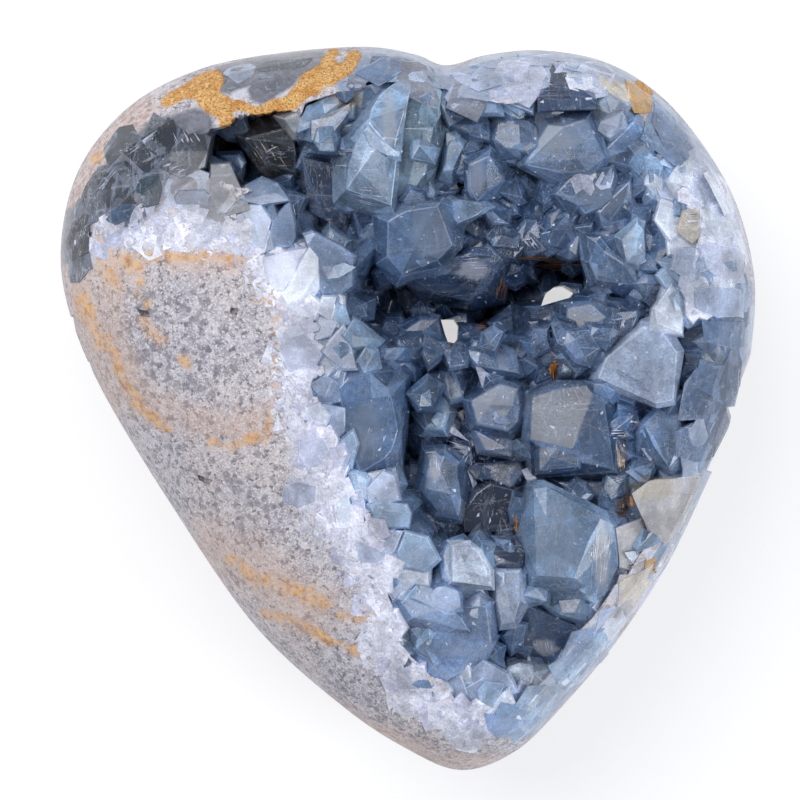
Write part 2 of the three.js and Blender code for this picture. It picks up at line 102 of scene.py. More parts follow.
floor_size = 6.0
floor_mesh = bmesh.new()
bmesh.ops.create_grid(floor_mesh, x_segments=1, y_segments=1, size=floor_size / 2)
floor_data = bpy.data.meshes.new("floor")
floor_mesh.to_mesh(floor_data)
floor_mesh.free()
floor = bpy.data.objects.new("floor", floor_data)
bpy.context.scene.collection.objects.link(floor)
floor_data.materials.append(new_material(
    "white_table", Base_Color=(0.42, 0.42, 0.43, 1), Roughness=0.9, Emission_Color=(1, 1, 1, 1),
    Emission_Strength=0.6)[0])

world = bpy.data.worlds.new("studio")
world.use_nodes = True
world.node_tree.nodes["Background"].inputs["Color"].default_value = (0.9, 0.94, 1, 1)
world.node_tree.nodes["Background"].inputs["Strength"].default_value = 0.46
bpy.context.scene.world = world

lamps = [
    dict(name="upper_left", place=(-0.52, 0.58, 1.15), size=1.3, power=14.7, tint=(1, 0.98, 0.96)),
    dict(name="right", place=(0.9, -0.3, 0.6), size=0.6, power=5, tint=(0.93, 0.97, 1)),
]
for lamp in lamps:
    lamp_data = bpy.data.lights.new(lamp["name"], "AREA")
    lamp_data.shape = "DISK"
    lamp_data.size = lamp["size"]
    lamp_data.energy = lamp["power"]
    lamp_data.color = lamp["tint"]
    lamp_object = bpy.data.objects.new(lamp["name"], lamp_data)
    lamp_object.location = lamp["place"]
    aim = Vector((0, 0, picture_level)) - lamp_object.location
    lamp_object.rotation_euler = aim.to_track_quat("-Z", "Y").to_euler()
    bpy.context.scene.collection.objects.link(lamp_object)

bpy.context.scene.view_settings.view_transform = "Standard"
bpy.context.scene.cycles.use_denoising = True
bpy.context.scene.cycles.max_bounces = 9
bpy.context.scene.cycles.transmission_bounces = 7
bpy.context.scene.cycles.glossy_bounces = 3

# The rind is the grey marl that the geode grew in, ground to a domed heart and polished. It is
# shaped from a ball that is stretched to the heart's outline. The hollow, the dark pocket, two
# openings through the stone, three broken edges and some pits are cut out of it.
rim_height = 24 * mm
dome_rise = 27 * mm
back_drop = 25 * mm
dome_power = 2.5
back_power = 2.3
outline_steps = 10
uneven_waves = 14
heart_middle = Vector((3, 4)) * mm
heart_outline = [
    (5.4, 49.6), (11.2, 51.1), (19, 51.8), (28.2, 50.2), (35.9, 45.7), (42.1, 38.8), (47.2, 30.1),
    (49.9, 20), (49.8, 10.6), (48, 0.4), (43.5, -10), (37.4, -22.6), (29.7, -34.2), (22.2, -43.1),
    (15.4, -49.6), (7.7, -52.3), (-0.1, -49.3), (-9.6, -43), (-22.2, -31.4), (-34.3, -13.9),
    (-44.7, 3.4), (-49.5, 15.7), (-50.1, 25.5), (-47.2, 35.5), (-40.1, 43.9), (-30.1, 49.1),
    (-18.6, 51.4), (-6.3, 52.3), (0.9, 51.2),
]
hollow_middle = Vector((13, 8)) * mm
hollow_outline = [
    (-15.5, 42.6), (-9.2, 45.6), (-1.2, 47.6), (3.1, 46.7), (6.4, 45.6), (11.8, 44.2), (17.3, 44.2),
    (21.6, 46.4), (27.6, 46.2), (33.2, 43), (37.6, 38.4), (41.4, 32.4), (44.2, 26), (45.6, 18.6),
    (45, 10.6), (42.6, 2), (39, -6), (39.2, -9.4), (33.6, -20.4), (26.6, -30.6), (19.8, -38.6),
    (14.2, -44.4), (9, -43.8), (5.7, -40.6), (2.4, -38.2), (-1.4, -34.6), (-2.6, -26.6), (-7.7, -21.6),
    (-9.2, -15.4), (-10.9, -10.8), (-12.9, -5.8), (-15.4, -0.9), (-16.2, 5.6), (-16.2, 12),
    (-17.6, 16.4), (-21.4, 21.6), (-24.9, 25.6), (-25.1, 29.2), (-21.6, 31.4), (-16.6, 34),
]
pocket_middle = Vector((-22.1, 37.3)) * mm
pocket_outline = [
    (-23.4, 31.5), (-26.5, 32.4), (-29.2, 33.6), (-29.8, 37), (-28.9, 39.8), (-26.4, 40.6),
    (-24.1, 42), (-20.7, 42.4), (-16.6, 42.8), (-13.4, 39.5), (-14.4, 33), (-19, 30.6),
]
through_holes = [
    [(440.5, 319), (454, 319), (458.5, 326), (457.5, 339), (450, 348.5), (445, 335)],
    [(541, 306), (545.5, 294), (555, 286.5), (564, 285.5), (575, 292), (570.5, 297.5), (551, 303)],
]
breaks = [
    dict(low=9, high=38, line=[(757, 349), (748, 352), (733, 388), (712, 426), (702, 447),
                               (703, 469), (720, 474)]),
    dict(low=8, high=33, line=[(80, 360), (93, 362), (99, 382), (88, 392)]),
    dict(low=9, high=35, line=[(60, 314), (78, 318), (81, 345), (66, 352)]),
]
break_spread = 1.03
break_reach = 1.3
pits = [
    [(403, 659), (409, 657), (417, 666), (415, 670), (404, 667)],
    [(138, 309), (150, 312), (152, 318), (143, 317)],
    [(232, 308), (239, 310), (238, 316), (231, 314)],
    [(198, 474), (214, 480), (210, 484), (200, 480)],
    [(84, 233), (89, 241), (86, 252), (80, 247)],
]
pit_depth = 1.1 * mm
above_all = 90 * mm  # a height over the whole stone


def reach_table(outline, middle):
    """Angles round a middle and the distances to a smooth closed outline at them."""
    points = np.array(outline) * mm - np.array(middle)
    share = np.linspace(0, 1, outline_steps, endpoint=False)[:, None]
    stretches = []
    for i in range(len(points)):
        before, start, end, after = (points[(i + k) % len(points)] for k in (-1, 0, 1, 2))
        stretches.append(
            start + 0.5 * share * (end - before)
            + share**2 * (before - 2.5 * start + 2 * end - 0.5 * after)
            + share**3 * 0.5 * (after - before + 3 * (start - end))
        )
    curve = np.concatenate(stretches)
    angles = np.arctan2(curve[:, 1], curve[:, 0])
    order = np.argsort(angles)
    return angles[order], np.hypot(curve[:, 0], curve[:, 1])[order]


def reach_at(table, angle):
    return float(np.interp(angle, *table, period=2 * math.pi))


heart_reach = reach_table(heart_outline, heart_middle)


def way_out(x, y):
    """A place's way from the heart's middle, and its share of the whole way to the outline."""
    out = Vector((x, y)) - heart_middle
    return out, out.length / reach_at(heart_reach, math.atan2(out.y, out.x))


def dome_at(x, y, widest=0.96):
    """The height of the domed face over a place, level near the rim so that it never dives."""
    share = min(way_out(x, y)[1], widest)
    return rim_height + dome_rise * (1 - share**dome_power) ** (1 / dome_power)


def object_from(name, shape):
    data = bpy.data.meshes.new(name)
    shape.to_mesh(data)
    shape.free()
    made = bpy.data.objects.new(name, data)
    bpy.context.scene.collection.objects.link(made)
    return made


def cushion(name, table, middle, level, rise, drop, up_power, down_power, detail, uneven=0):
    """A ball stretched to an outline, with its own rise and drop from one level."""
    shape = bmesh.new()
    bmesh.ops.create_icosphere(shape, subdivisions=detail, radius=1)
    for corner in shape.verts:
        x, y, z = corner.co.normalized()
        angle = math.atan2(y, x)
        power, height = (up_power, rise) if z >= 0 else (down_power, -drop)
        reach = reach_at(table, angle)
        if uneven:
            way = Vector((math.cos(angle), math.sin(angle), z))
            reach += uneven * noise.noise(way * uneven_waves)
        out = reach * math.hypot(x, y) ** (2 / power)
        corner.co = (
            middle.x + out * math.cos(angle),
            middle.y + out * math.sin(angle),
            level + height * abs(z) ** (2 / power),
        )
    return object_from(name, shape)


def carve(piece, cutter, operation="DIFFERENCE"):
    """Cuts one piece by another for good, and takes the cutter away."""
    cut = piece.modifiers.new("cut", "BOOLEAN")
    cut.object = cutter
    cut.operation = operation
    cut.solver = "MANIFOLD"
    graph = bpy.context.evaluated_depsgraph_get()
    carved = bpy.data.meshes.new_from_object(
        piece.evaluated_get(graph), preserve_all_data_layers=True, depsgraph=graph
    )
    piece.modifiers.clear()
    piece.data = carved
    bpy.data.objects.remove(cutter)


def corners_in(items):
    return [item for item in items if isinstance(item, bmesh.types.BMVert)]


def prism(name, corners, low, high, foot_spread=1):
    """A block over an outline, whose foot may lie farther out from the heart's middle."""
    shape = bmesh.new()
    foot = shape.faces.new([shape.verts.new((*corner, low)) for corner in corners])
    top = bmesh.ops.extrude_face_region(shape, geom=[foot])
    raised = corners_in(top["geom"])
    bmesh.ops.translate(shape, vec=(0, 0, high - low), verts=raised)
    about = Matrix.Translation((-heart_middle.x, -heart_middle.y, 0))
    lower = [corner for corner in shape.verts if corner not in raised]
    bmesh.ops.scale(shape, vec=(foot_spread, foot_spread, 1), space=about, verts=lower)
    bmesh.ops.recalc_face_normals(shape, faces=shape.faces)
    return object_from(name, shape)


def hole_cutters():
    return [prism("gap", spots(corners), -2 * mm, above_all) for corners in through_holes]


rind = cushion("polished_rind", heart_reach, heart_middle, rim_height, dome_rise, back_drop,
               dome_power, back_power, 7)
for corner in rind.data.vertices:
    corner.co.z = max(corner.co.z, 0)
for edge in breaks:
    line = spots(edge["line"])
    far = [heart_middle + (corner - heart_middle) * break_reach for corner in (line[-1], line[0])]
    carve(rind, prism("break", line + far, edge["low"] * mm, edge["high"] * mm, break_spread))
hollow = dict(table=reach_table(hollow_outline, hollow_middle), middle=hollow_middle, level=50 * mm,
              rise=30 * mm, up_power=8, down_power=3.2)
pocket = dict(table=reach_table(pocket_outline, pocket_middle), middle=pocket_middle, level=44 * mm,
              rise=30 * mm, drop=24 * mm, up_power=8, down_power=2.6)
carve(rind, cushion("hollow", **hollow, drop=44.5 * mm, detail=6, uneven=1.2 * mm))
carve(rind, cushion("pocket", **pocket, detail=5, uneven=0.8 * mm))
for cutter in hole_cutters():
    carve(rind, cutter)
for pit in pits:
    places = spots(pit)
    carve(rind, prism("pit", places, dome_at(*places[0]) - pit_depth, above_all))

# What the polished face shows, as strokes over the photograph: half width and middle line in
# pixels. Ochre is thin limonite, rust and tan are iron stain, sugar is fine white crystal, and smoke
# and blue are crystals that were cut flush. Limonite and the stains are colour only.
face_strokes = {
    "limonite": [
        (7, (168, 102), (185, 92)), (12, (197, 90), (212, 80), (208, 100), (222, 108)),
        (9, (222, 108), (227, 122)), (5, (238, 106), (252, 112), (266, 112)),
        (9, (272, 110), (292, 104), (305, 88)), (13, (312, 84), (330, 74)),
        (7, (338, 76), (350, 66), (354, 56)), (5, (326, 62), (334, 52)),
        (5, (640, 84), (648, 92), (644, 100)),
    ],
    "ochre": [
        (20, (618, 78), (640, 92), (640, 104)), (11, (104, 238), (104, 268), (116, 285)),
        (12, (132, 262), (138, 282)), (9, (118, 262), (160, 258), (205, 258), (243, 262)),
        (12, (80, 296), (92, 320), (106, 345)), (9, (104, 330), (122, 372), (140, 408), (168, 428)),
        (7, (250, 300), (268, 296), (283, 314)), (5, (276, 318), (276, 360), (276, 400), (268, 432)),
        (8, (208, 444), (236, 446), (262, 436)), (6, (141, 300), (150, 306)),
        (10, (144, 322), (150, 334), (164, 338)), (8, (182, 360), (190, 366)),
        (12, (236, 560), (262, 580), (300, 590), (326, 600)),
        (8, (262, 612), (300, 622), (330, 640), (356, 650)), (9, (340, 614), (372, 616)),
        (7, (296, 618), (308, 628)), (8, (96, 160), (104, 152)),
    ],
    "tan": [
        (22, (612, 78), (640, 90), (640, 108)), (42, (215, 548), (262, 572), (310, 610)),
        (22, (115, 270), (110, 330), (140, 400), (215, 425), (262, 420)),
        (16, (300, 690), (370, 730), (440, 762), (500, 764)), (20, (74, 210), (96, 160), (140, 112)),
        (26, (74, 262), (84, 330), (110, 400)), (16, (180, 262), (240, 262)),
    ],
    "rust": [
        (5, (104, 326), (110, 334)), (5, (134, 356), (140, 366)), (5, (120, 380), (128, 392)),
        (6, (296, 620), (304, 630)), (5, (324, 640), (344, 648)), (7, (180, 345), (186, 352)),
    ],
    "clay": [
        (18, (84, 200), (110, 156), (150, 120)),
        (12, (132, 300), (152, 312), (160, 300), (192, 306), (206, 300)),
        (26, (150, 350), (190, 366), (214, 400)), (24, (188, 470), (230, 492), (262, 500)),
        (20, (350, 690), (400, 715), (440, 740)), (18, (120, 345), (128, 385), (150, 410)),
        (7, (232, 310), (238, 314)), (8, (174, 372), (196, 382)), (9, (76, 236), (84, 240)),
        (10, (198, 472), (216, 480), (232, 494)), (7, (240, 484), (256, 498)), (5, (408, 662), (414, 664)),
        (9, (360, 552), (350, 566), (372, 578)), (8, (420, 690), (440, 700)),
    ],
    "sugar": [
        (19, (132, 232), (170, 232), (215, 232), (250, 240)),
        (24, (268, 250), (290, 275), (300, 320), (303, 370), (306, 420)),
        (26, (315, 450), (328, 490), (350, 525), (372, 560)),
        (20, (376, 590), (386, 640), (416, 692), (470, 724)), (12, (80, 262), (92, 250), (110, 228)),
        (26, (700, 180), (722, 215), (728, 260), (712, 300)), (18, (480, 90), (530, 86), (575, 84)),
        (16, (620, 585), (648, 575), (636, 600)), (12, (600, 625), (580, 665), (545, 710)),
        (10, (240, 90), (270, 80), (285, 95)),
    ],
    "smoke": [
        (20, (104, 200), (122, 176), (160, 140), (196, 128)), (26, (130, 205), (150, 180), (185, 160)),
        (20, (205, 200), (220, 205)), (18, (72, 250), (76, 225)), (18, (230, 78), (270, 66), (310, 60)),
        (14, (262, 92), (285, 78)),
    ],
    "blue": [
        (22, (356, 78), (400, 62), (440, 76), (470, 96)), (20, (480, 76), (530, 66), (590, 66), (640, 92)),
        (16, (670, 110), (694, 140), (706, 165)), (24, (730, 300), (736, 340), (722, 380), (706, 420)),
        (20, (690, 450), (690, 490), (670, 530)), (18, (600, 640), (560, 690), (520, 722)),
    ],
}
fade_level = 23 * mm  # where the zones begin to show on the sides, give or take the wander
fade_depth = 5 * mm
fade_wander = 9 * mm
fade_size = 16 * mm
zone_channels = [("stains", ["limonite", "ochre", "rust", "tan"]),
                 ("growths", ["sugar", "smoke", "blue", "clay"])]


def away_from(line, places):
    """How far each of many places lies from a line of pixels."""
    corners = np.array(spots(line))
    nearest = np.full(len(places), np.inf)
    for start, end in zip(corners, corners[1:]):
        along = end - start
        share = np.clip((places - start) @ along / (along @ along), 0, 1)
        nearest = np.minimum(nearest, np.hypot(*(places - start - share[:, None] * along).T))
    return nearest


def paint_zones(piece):
    """Stores how strongly each zone marks each corner of the polished face."""
    places = np.array([corner.co.xy for corner in piece.data.vertices])
    heights = [corner.co.z for corner in piece.data.vertices]
    strength = {}
    for zone, strokes in face_strokes.items():
        strength[zone] = np.zeros(len(places))
        for half, *line in strokes:
            mark = np.clip(1.25 - 0.75 * away_from(line, places) / (half * pixel), 0, 1)
            strength[zone] = np.maximum(strength[zone], mark)
    wander = [fade_wander * noise.noise(corner.co / fade_size) for corner in piece.data.vertices]
    facing_up = np.clip((np.array(heights) + wander - fade_level) / fade_depth, 0, 1)
    for name, zones in zone_channels:
        layer = piece.data.color_attributes.new(name, "FLOAT_COLOR", "POINT")
        values = np.stack([strength[zone] * facing_up for zone in zones], axis=1)
        layer.data.foreach_set("color", values.astype(np.float32).ravel())


paint_zones(rind)
for face in rind.data.polygons:
    face.use_smooth = True


def ink(red, green, blue):
    """A colour as it is read off a photograph, 0 to 255, turned into the light it stands for."""
    def light(value):
        share = value / 255
        return share / 12.92 if share <= 0.04045 else ((share + 0.055) / 1.055) ** 2.4
    return (light(red), light(green), light(blue), 1)


def add(tree, kind, settings=None, ordered=(), **named):
    """A new node with its settings and inputs."""
    made = tree.nodes.new(kind)
    for key, value in (settings or {}).items():
        setattr(made, key, value)
    plug(tree, made, {**dict(ordered), **named})
    return made


def mixed(tree, share, under, over, way="MIX"):
    """One colour laid over another."""
    kind = {"data_type": "RGBA", "blend_type": way}
    return add(tree, "ShaderNodeMix", kind, {0: share, 6: under, 7: over}).outputs[2]


def maths(tree, what, first, second=0.0, third=0.0):
    made = add(tree, "ShaderNodeMath", {"operation": what}, enumerate((first, second, third)))
    return made.outputs[0]


def vector_maths(tree, what, *values):
    made = add(tree, "ShaderNodeVectorMath", {"operation": what}, enumerate(values))
    return made.outputs["Value" if what == "LENGTH" else "Vector"]


def stored(tree, name):
    """What a mesh carries under a name, as a colour."""
    return add(tree, "ShaderNodeAttribute", {"attribute_name": name})


def between(tree, value, low, high, out_low=0.0, out_high=1.0):
    """A value's way from low to high, held inside the two and smoothed."""
    made = add(tree, "ShaderNodeMapRange", {"interpolation_type": "SMOOTHSTEP"}, Value=value,
               From_Min=low, From_Max=high, To_Min=out_low, To_Max=out_high)
    return made.outputs[0]


def grain(tree, place, size, detail=3.0, roughness=0.6, distortion=0.0):
    """Cloudy noise with features of one size in metres."""
    made = add(tree, "ShaderNodeTexNoise", Vector=place, Scale=1 / size, Detail=detail,
               Roughness=roughness, Distortion=distortion)
    return made.outputs[0]


def cells(tree, place, size, feature="F1"):
    """A pattern of cells of one size in metres."""
    return add(tree, "ShaderNodeTexVoronoi", {"feature": feature}, Vector=place, Scale=1 / size)


def chance_of(tree, pattern):
    """A number from 0 to 1 that each cell of a pattern has for itself."""
    return add(tree, "ShaderNodeSeparateColor", Color=pattern.outputs["Color"]).outputs[0]


def polished_marl():
    material, tree, shader = new_material("polished_marl")
    place = add(tree, "ShaderNodeTexCoord").outputs["Object"]
    fine = grain(tree, place, 0.3 * mm, 4, 0.7)
    specks = grain(tree, place, 0.9 * mm, 5, 0.7)
    blotches = grain(tree, place, 5 * mm, 5, 0.65)
    clouds = grain(tree, place, 14 * mm, 4)
    ragged = grain(tree, place, 2.2 * mm, 7, 0.8, 0.4)

    marks = {}
    for name, zones in zone_channels:
        mark = stored(tree, name)
        parts = add(tree, "ShaderNodeSeparateColor", Color=mark.outputs["Color"])
        marks.update(zip(zones, [*parts.outputs[:3], mark.outputs["Alpha"]]))

    def shows(zone, noisy, wander, low, high):
        """Where a zone shows: its stored strength, broken up by a noise."""
        rough = maths(tree, "MULTIPLY_ADD", noisy, wander, -wander / 2)
        return between(tree, maths(tree, "ADD", marks[zone], rough), low, high)

    # The marl: small grains of grey and lilac, each with its own tone, under pale dust.
    wander = add(tree, "ShaderNodeTexNoise", Vector=place, Scale=1 / (1.2 * mm), Detail=3.0)
    shaken = vector_maths(tree, "MULTIPLY_ADD", wander.outputs["Color"], (1.4 * mm,) * 3, place)
    grains = chance_of(tree, cells(tree, shaken, 0.8 * mm))
    marl = mixed(tree, grains, ink(140, 136, 147), ink(204, 200, 208))
    marl = mixed(tree, between(tree, clouds, 0.4, 0.65, 0, 0.5), marl, ink(206, 192, 188))
    marl = mixed(tree, between(tree, blotches, 0.42, 0.7, 0, 0.6), marl, ink(146, 143, 157))
    marl = mixed(tree, between(tree, fine, 0.48, 0.62, 0, 0.9), marl, ink(226, 223, 229))
    marl = mixed(tree, between(tree, specks, 0.54, 0.62, 0, 0.9), marl, ink(104, 101, 111))

    # Flecks of grey clay, dense where the clay strokes run and thin elsewhere.
    flecks = cells(tree, shaken, 1.15 * mm)
    crowd = maths(tree, "MULTIPLY_ADD", marks["clay"], 0.5, chance_of(tree, flecks))
    fleck_share = maths(tree, "MULTIPLY", between(tree, crowd, 0.86, 0.98),
                        between(tree, flecks.outputs["Distance"], 0.7, 0.3, 0, 0.7))
    marl = mixed(tree, fleck_share, marl, mixed(tree, fine, ink(92, 90, 100), ink(146, 143, 156)))

    tan_share = maths(tree, "MULTIPLY", shows("tan", ragged, 1.8, 0.3, 1.2), 0.36)
    color = mixed(tree, tan_share, marl, ink(214, 178, 154))
    sugar = mixed(tree, between(tree, ragged, 0.35, 0.65), ink(176, 178, 198), ink(216, 216, 230))
    sugar = mixed(tree, between(tree, fine, 0.5, 0.7), sugar, ink(234, 234, 242))
    color = mixed(tree, shows("sugar", ragged, 1.3, 0.3, 0.8), color, sugar)

    # Ochre and rust lie between the grains, so they show as broken crumbs.
    crumbs = maths(tree, "MULTIPLY_ADD", fine, 0.4, maths(tree, "MULTIPLY", ragged, 0.6))
    ochre = mixed(tree, between(tree, specks, 0.4, 0.62), ink(228, 186, 132), ink(206, 146, 78))
    ochre_share = maths(tree, "MULTIPLY", shows("ochre", crumbs, 4.4, 0.6, 1.3), 0.9)
    color = mixed(tree, ochre_share, color, ochre)
    rust_share = maths(tree, "MULTIPLY", shows("rust", crumbs, 4.0, 0.85, 1.3), 0.75)
    color = mixed(tree, rust_share, color, ink(150, 98, 68))

    # Crystals cut flush show between the raised ones as one glassy ground.
    tone = maths(tree, "MULTIPLY_ADD", ragged, 0.6, maths(tree, "MULTIPLY", blotches, 0.6))
    smoke = mixed(tree, between(tree, tone, 0.4, 0.85), ink(78, 82, 94), ink(146, 147, 160))
    blue = mixed(tree, between(tree, tone, 0.4, 0.85), ink(108, 124, 152), ink(178, 188, 208))
    smoke_share = shows("smoke", blotches, 0.6, 0.4, 0.65)
    blue_share = shows("blue", blotches, 0.6, 0.35, 0.65)
    color = mixed(tree, smoke_share, color, smoke)
    color = mixed(tree, blue_share, color, blue)

    limonite = mixed(tree, between(tree, ragged, 0.38, 0.62), ink(232, 192, 128), ink(200, 140, 68))
    limonite = mixed(tree, between(tree, fine, 0.46, 0.6, 0, 0.9), limonite, ink(146, 98, 54))
    limonite = mixed(tree, between(tree, specks, 0.55, 0.68, 0, 0.7), limonite, ink(238, 214, 170))
    limonite_share = shows("limonite", ragged, 1.1, 0.45, 0.62)
    color = mixed(tree, limonite_share, color, limonite)
    tree.links.new(color, shader.inputs["Base Color"])

    glassy = maths(tree, "MAXIMUM", smoke_share, blue_share)
    glassy = maths(tree, "MULTIPLY", glassy, maths(tree, "SUBTRACT", 1.0, limonite_share))
    rough = maths(tree, "MULTIPLY_ADD", glassy, -0.35, 0.6)
    rough = maths(tree, "MULTIPLY_ADD", limonite_share, 0.3, rough)
    tree.links.new(rough, shader.inputs["Roughness"])
    height = maths(tree, "MULTIPLY_ADD", specks, 0.6, maths(tree, "MULTIPLY", fine, 0.6))
    height = maths(tree, "MULTIPLY", height, maths(tree, "MULTIPLY_ADD", glassy, -0.85, 1.0))
    bump = add(tree, "ShaderNodeBump", Strength=0.7, Distance=0.3 * mm, Height=height)
    tree.links.new(bump.outputs[0], shader.inputs["Normal"])
    return material


rind.data.materials.clear()
rind.data.materials.append(polished_marl())
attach(rind, "root")
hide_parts("marl_rind")

# The crust is the blue celestite that lines the hollow: blocky crystals with flat heads and slanted
# edge faces, grown together. Each large one has its own outline, read off the photograph. The tones
# are how each kind of crystal reads there, 0 to 255, so they hold light and shade as well as colour:
# white and bright stand partly for painted highlights on faces that mirror the lamps, and the dark
# blues of the crystals deep in the valley partly for painted shade.
photo_tones = dict(
    white=(228, 230, 242), bright=(196, 202, 224), aqua=(168, 188, 214), lavender=(146, 166, 202),
    sky=(146, 168, 198), green=(132, 154, 172), violet=(130, 142, 176), mid=(124, 147, 182),
    slate=(104, 126, 160), deep=(82, 104, 138), navy=(64, 86, 122),
    ink=(54, 72, 104), midnight=(38, 53, 80), soot=(74, 74, 78), beige=(198, 190, 190),
    frost_and_highlight=(226, 230, 241), haze=(170, 184, 208), brown=(120, 98, 78), gold=(206, 190, 160),
    pearl=(206, 208, 228), veil=(180, 190, 216), steel=(134, 152, 182), cream=(214, 200, 186),
    amber=(206, 156, 92), ash=(132, 133, 148), night=(60, 63, 74), smoke=(88, 90, 101),
    teal=(66, 86, 102), ochre=(206, 138, 60), rust=(112, 78, 64),
)
tones = {name: ink(*read) for name, read in photo_tones.items()}

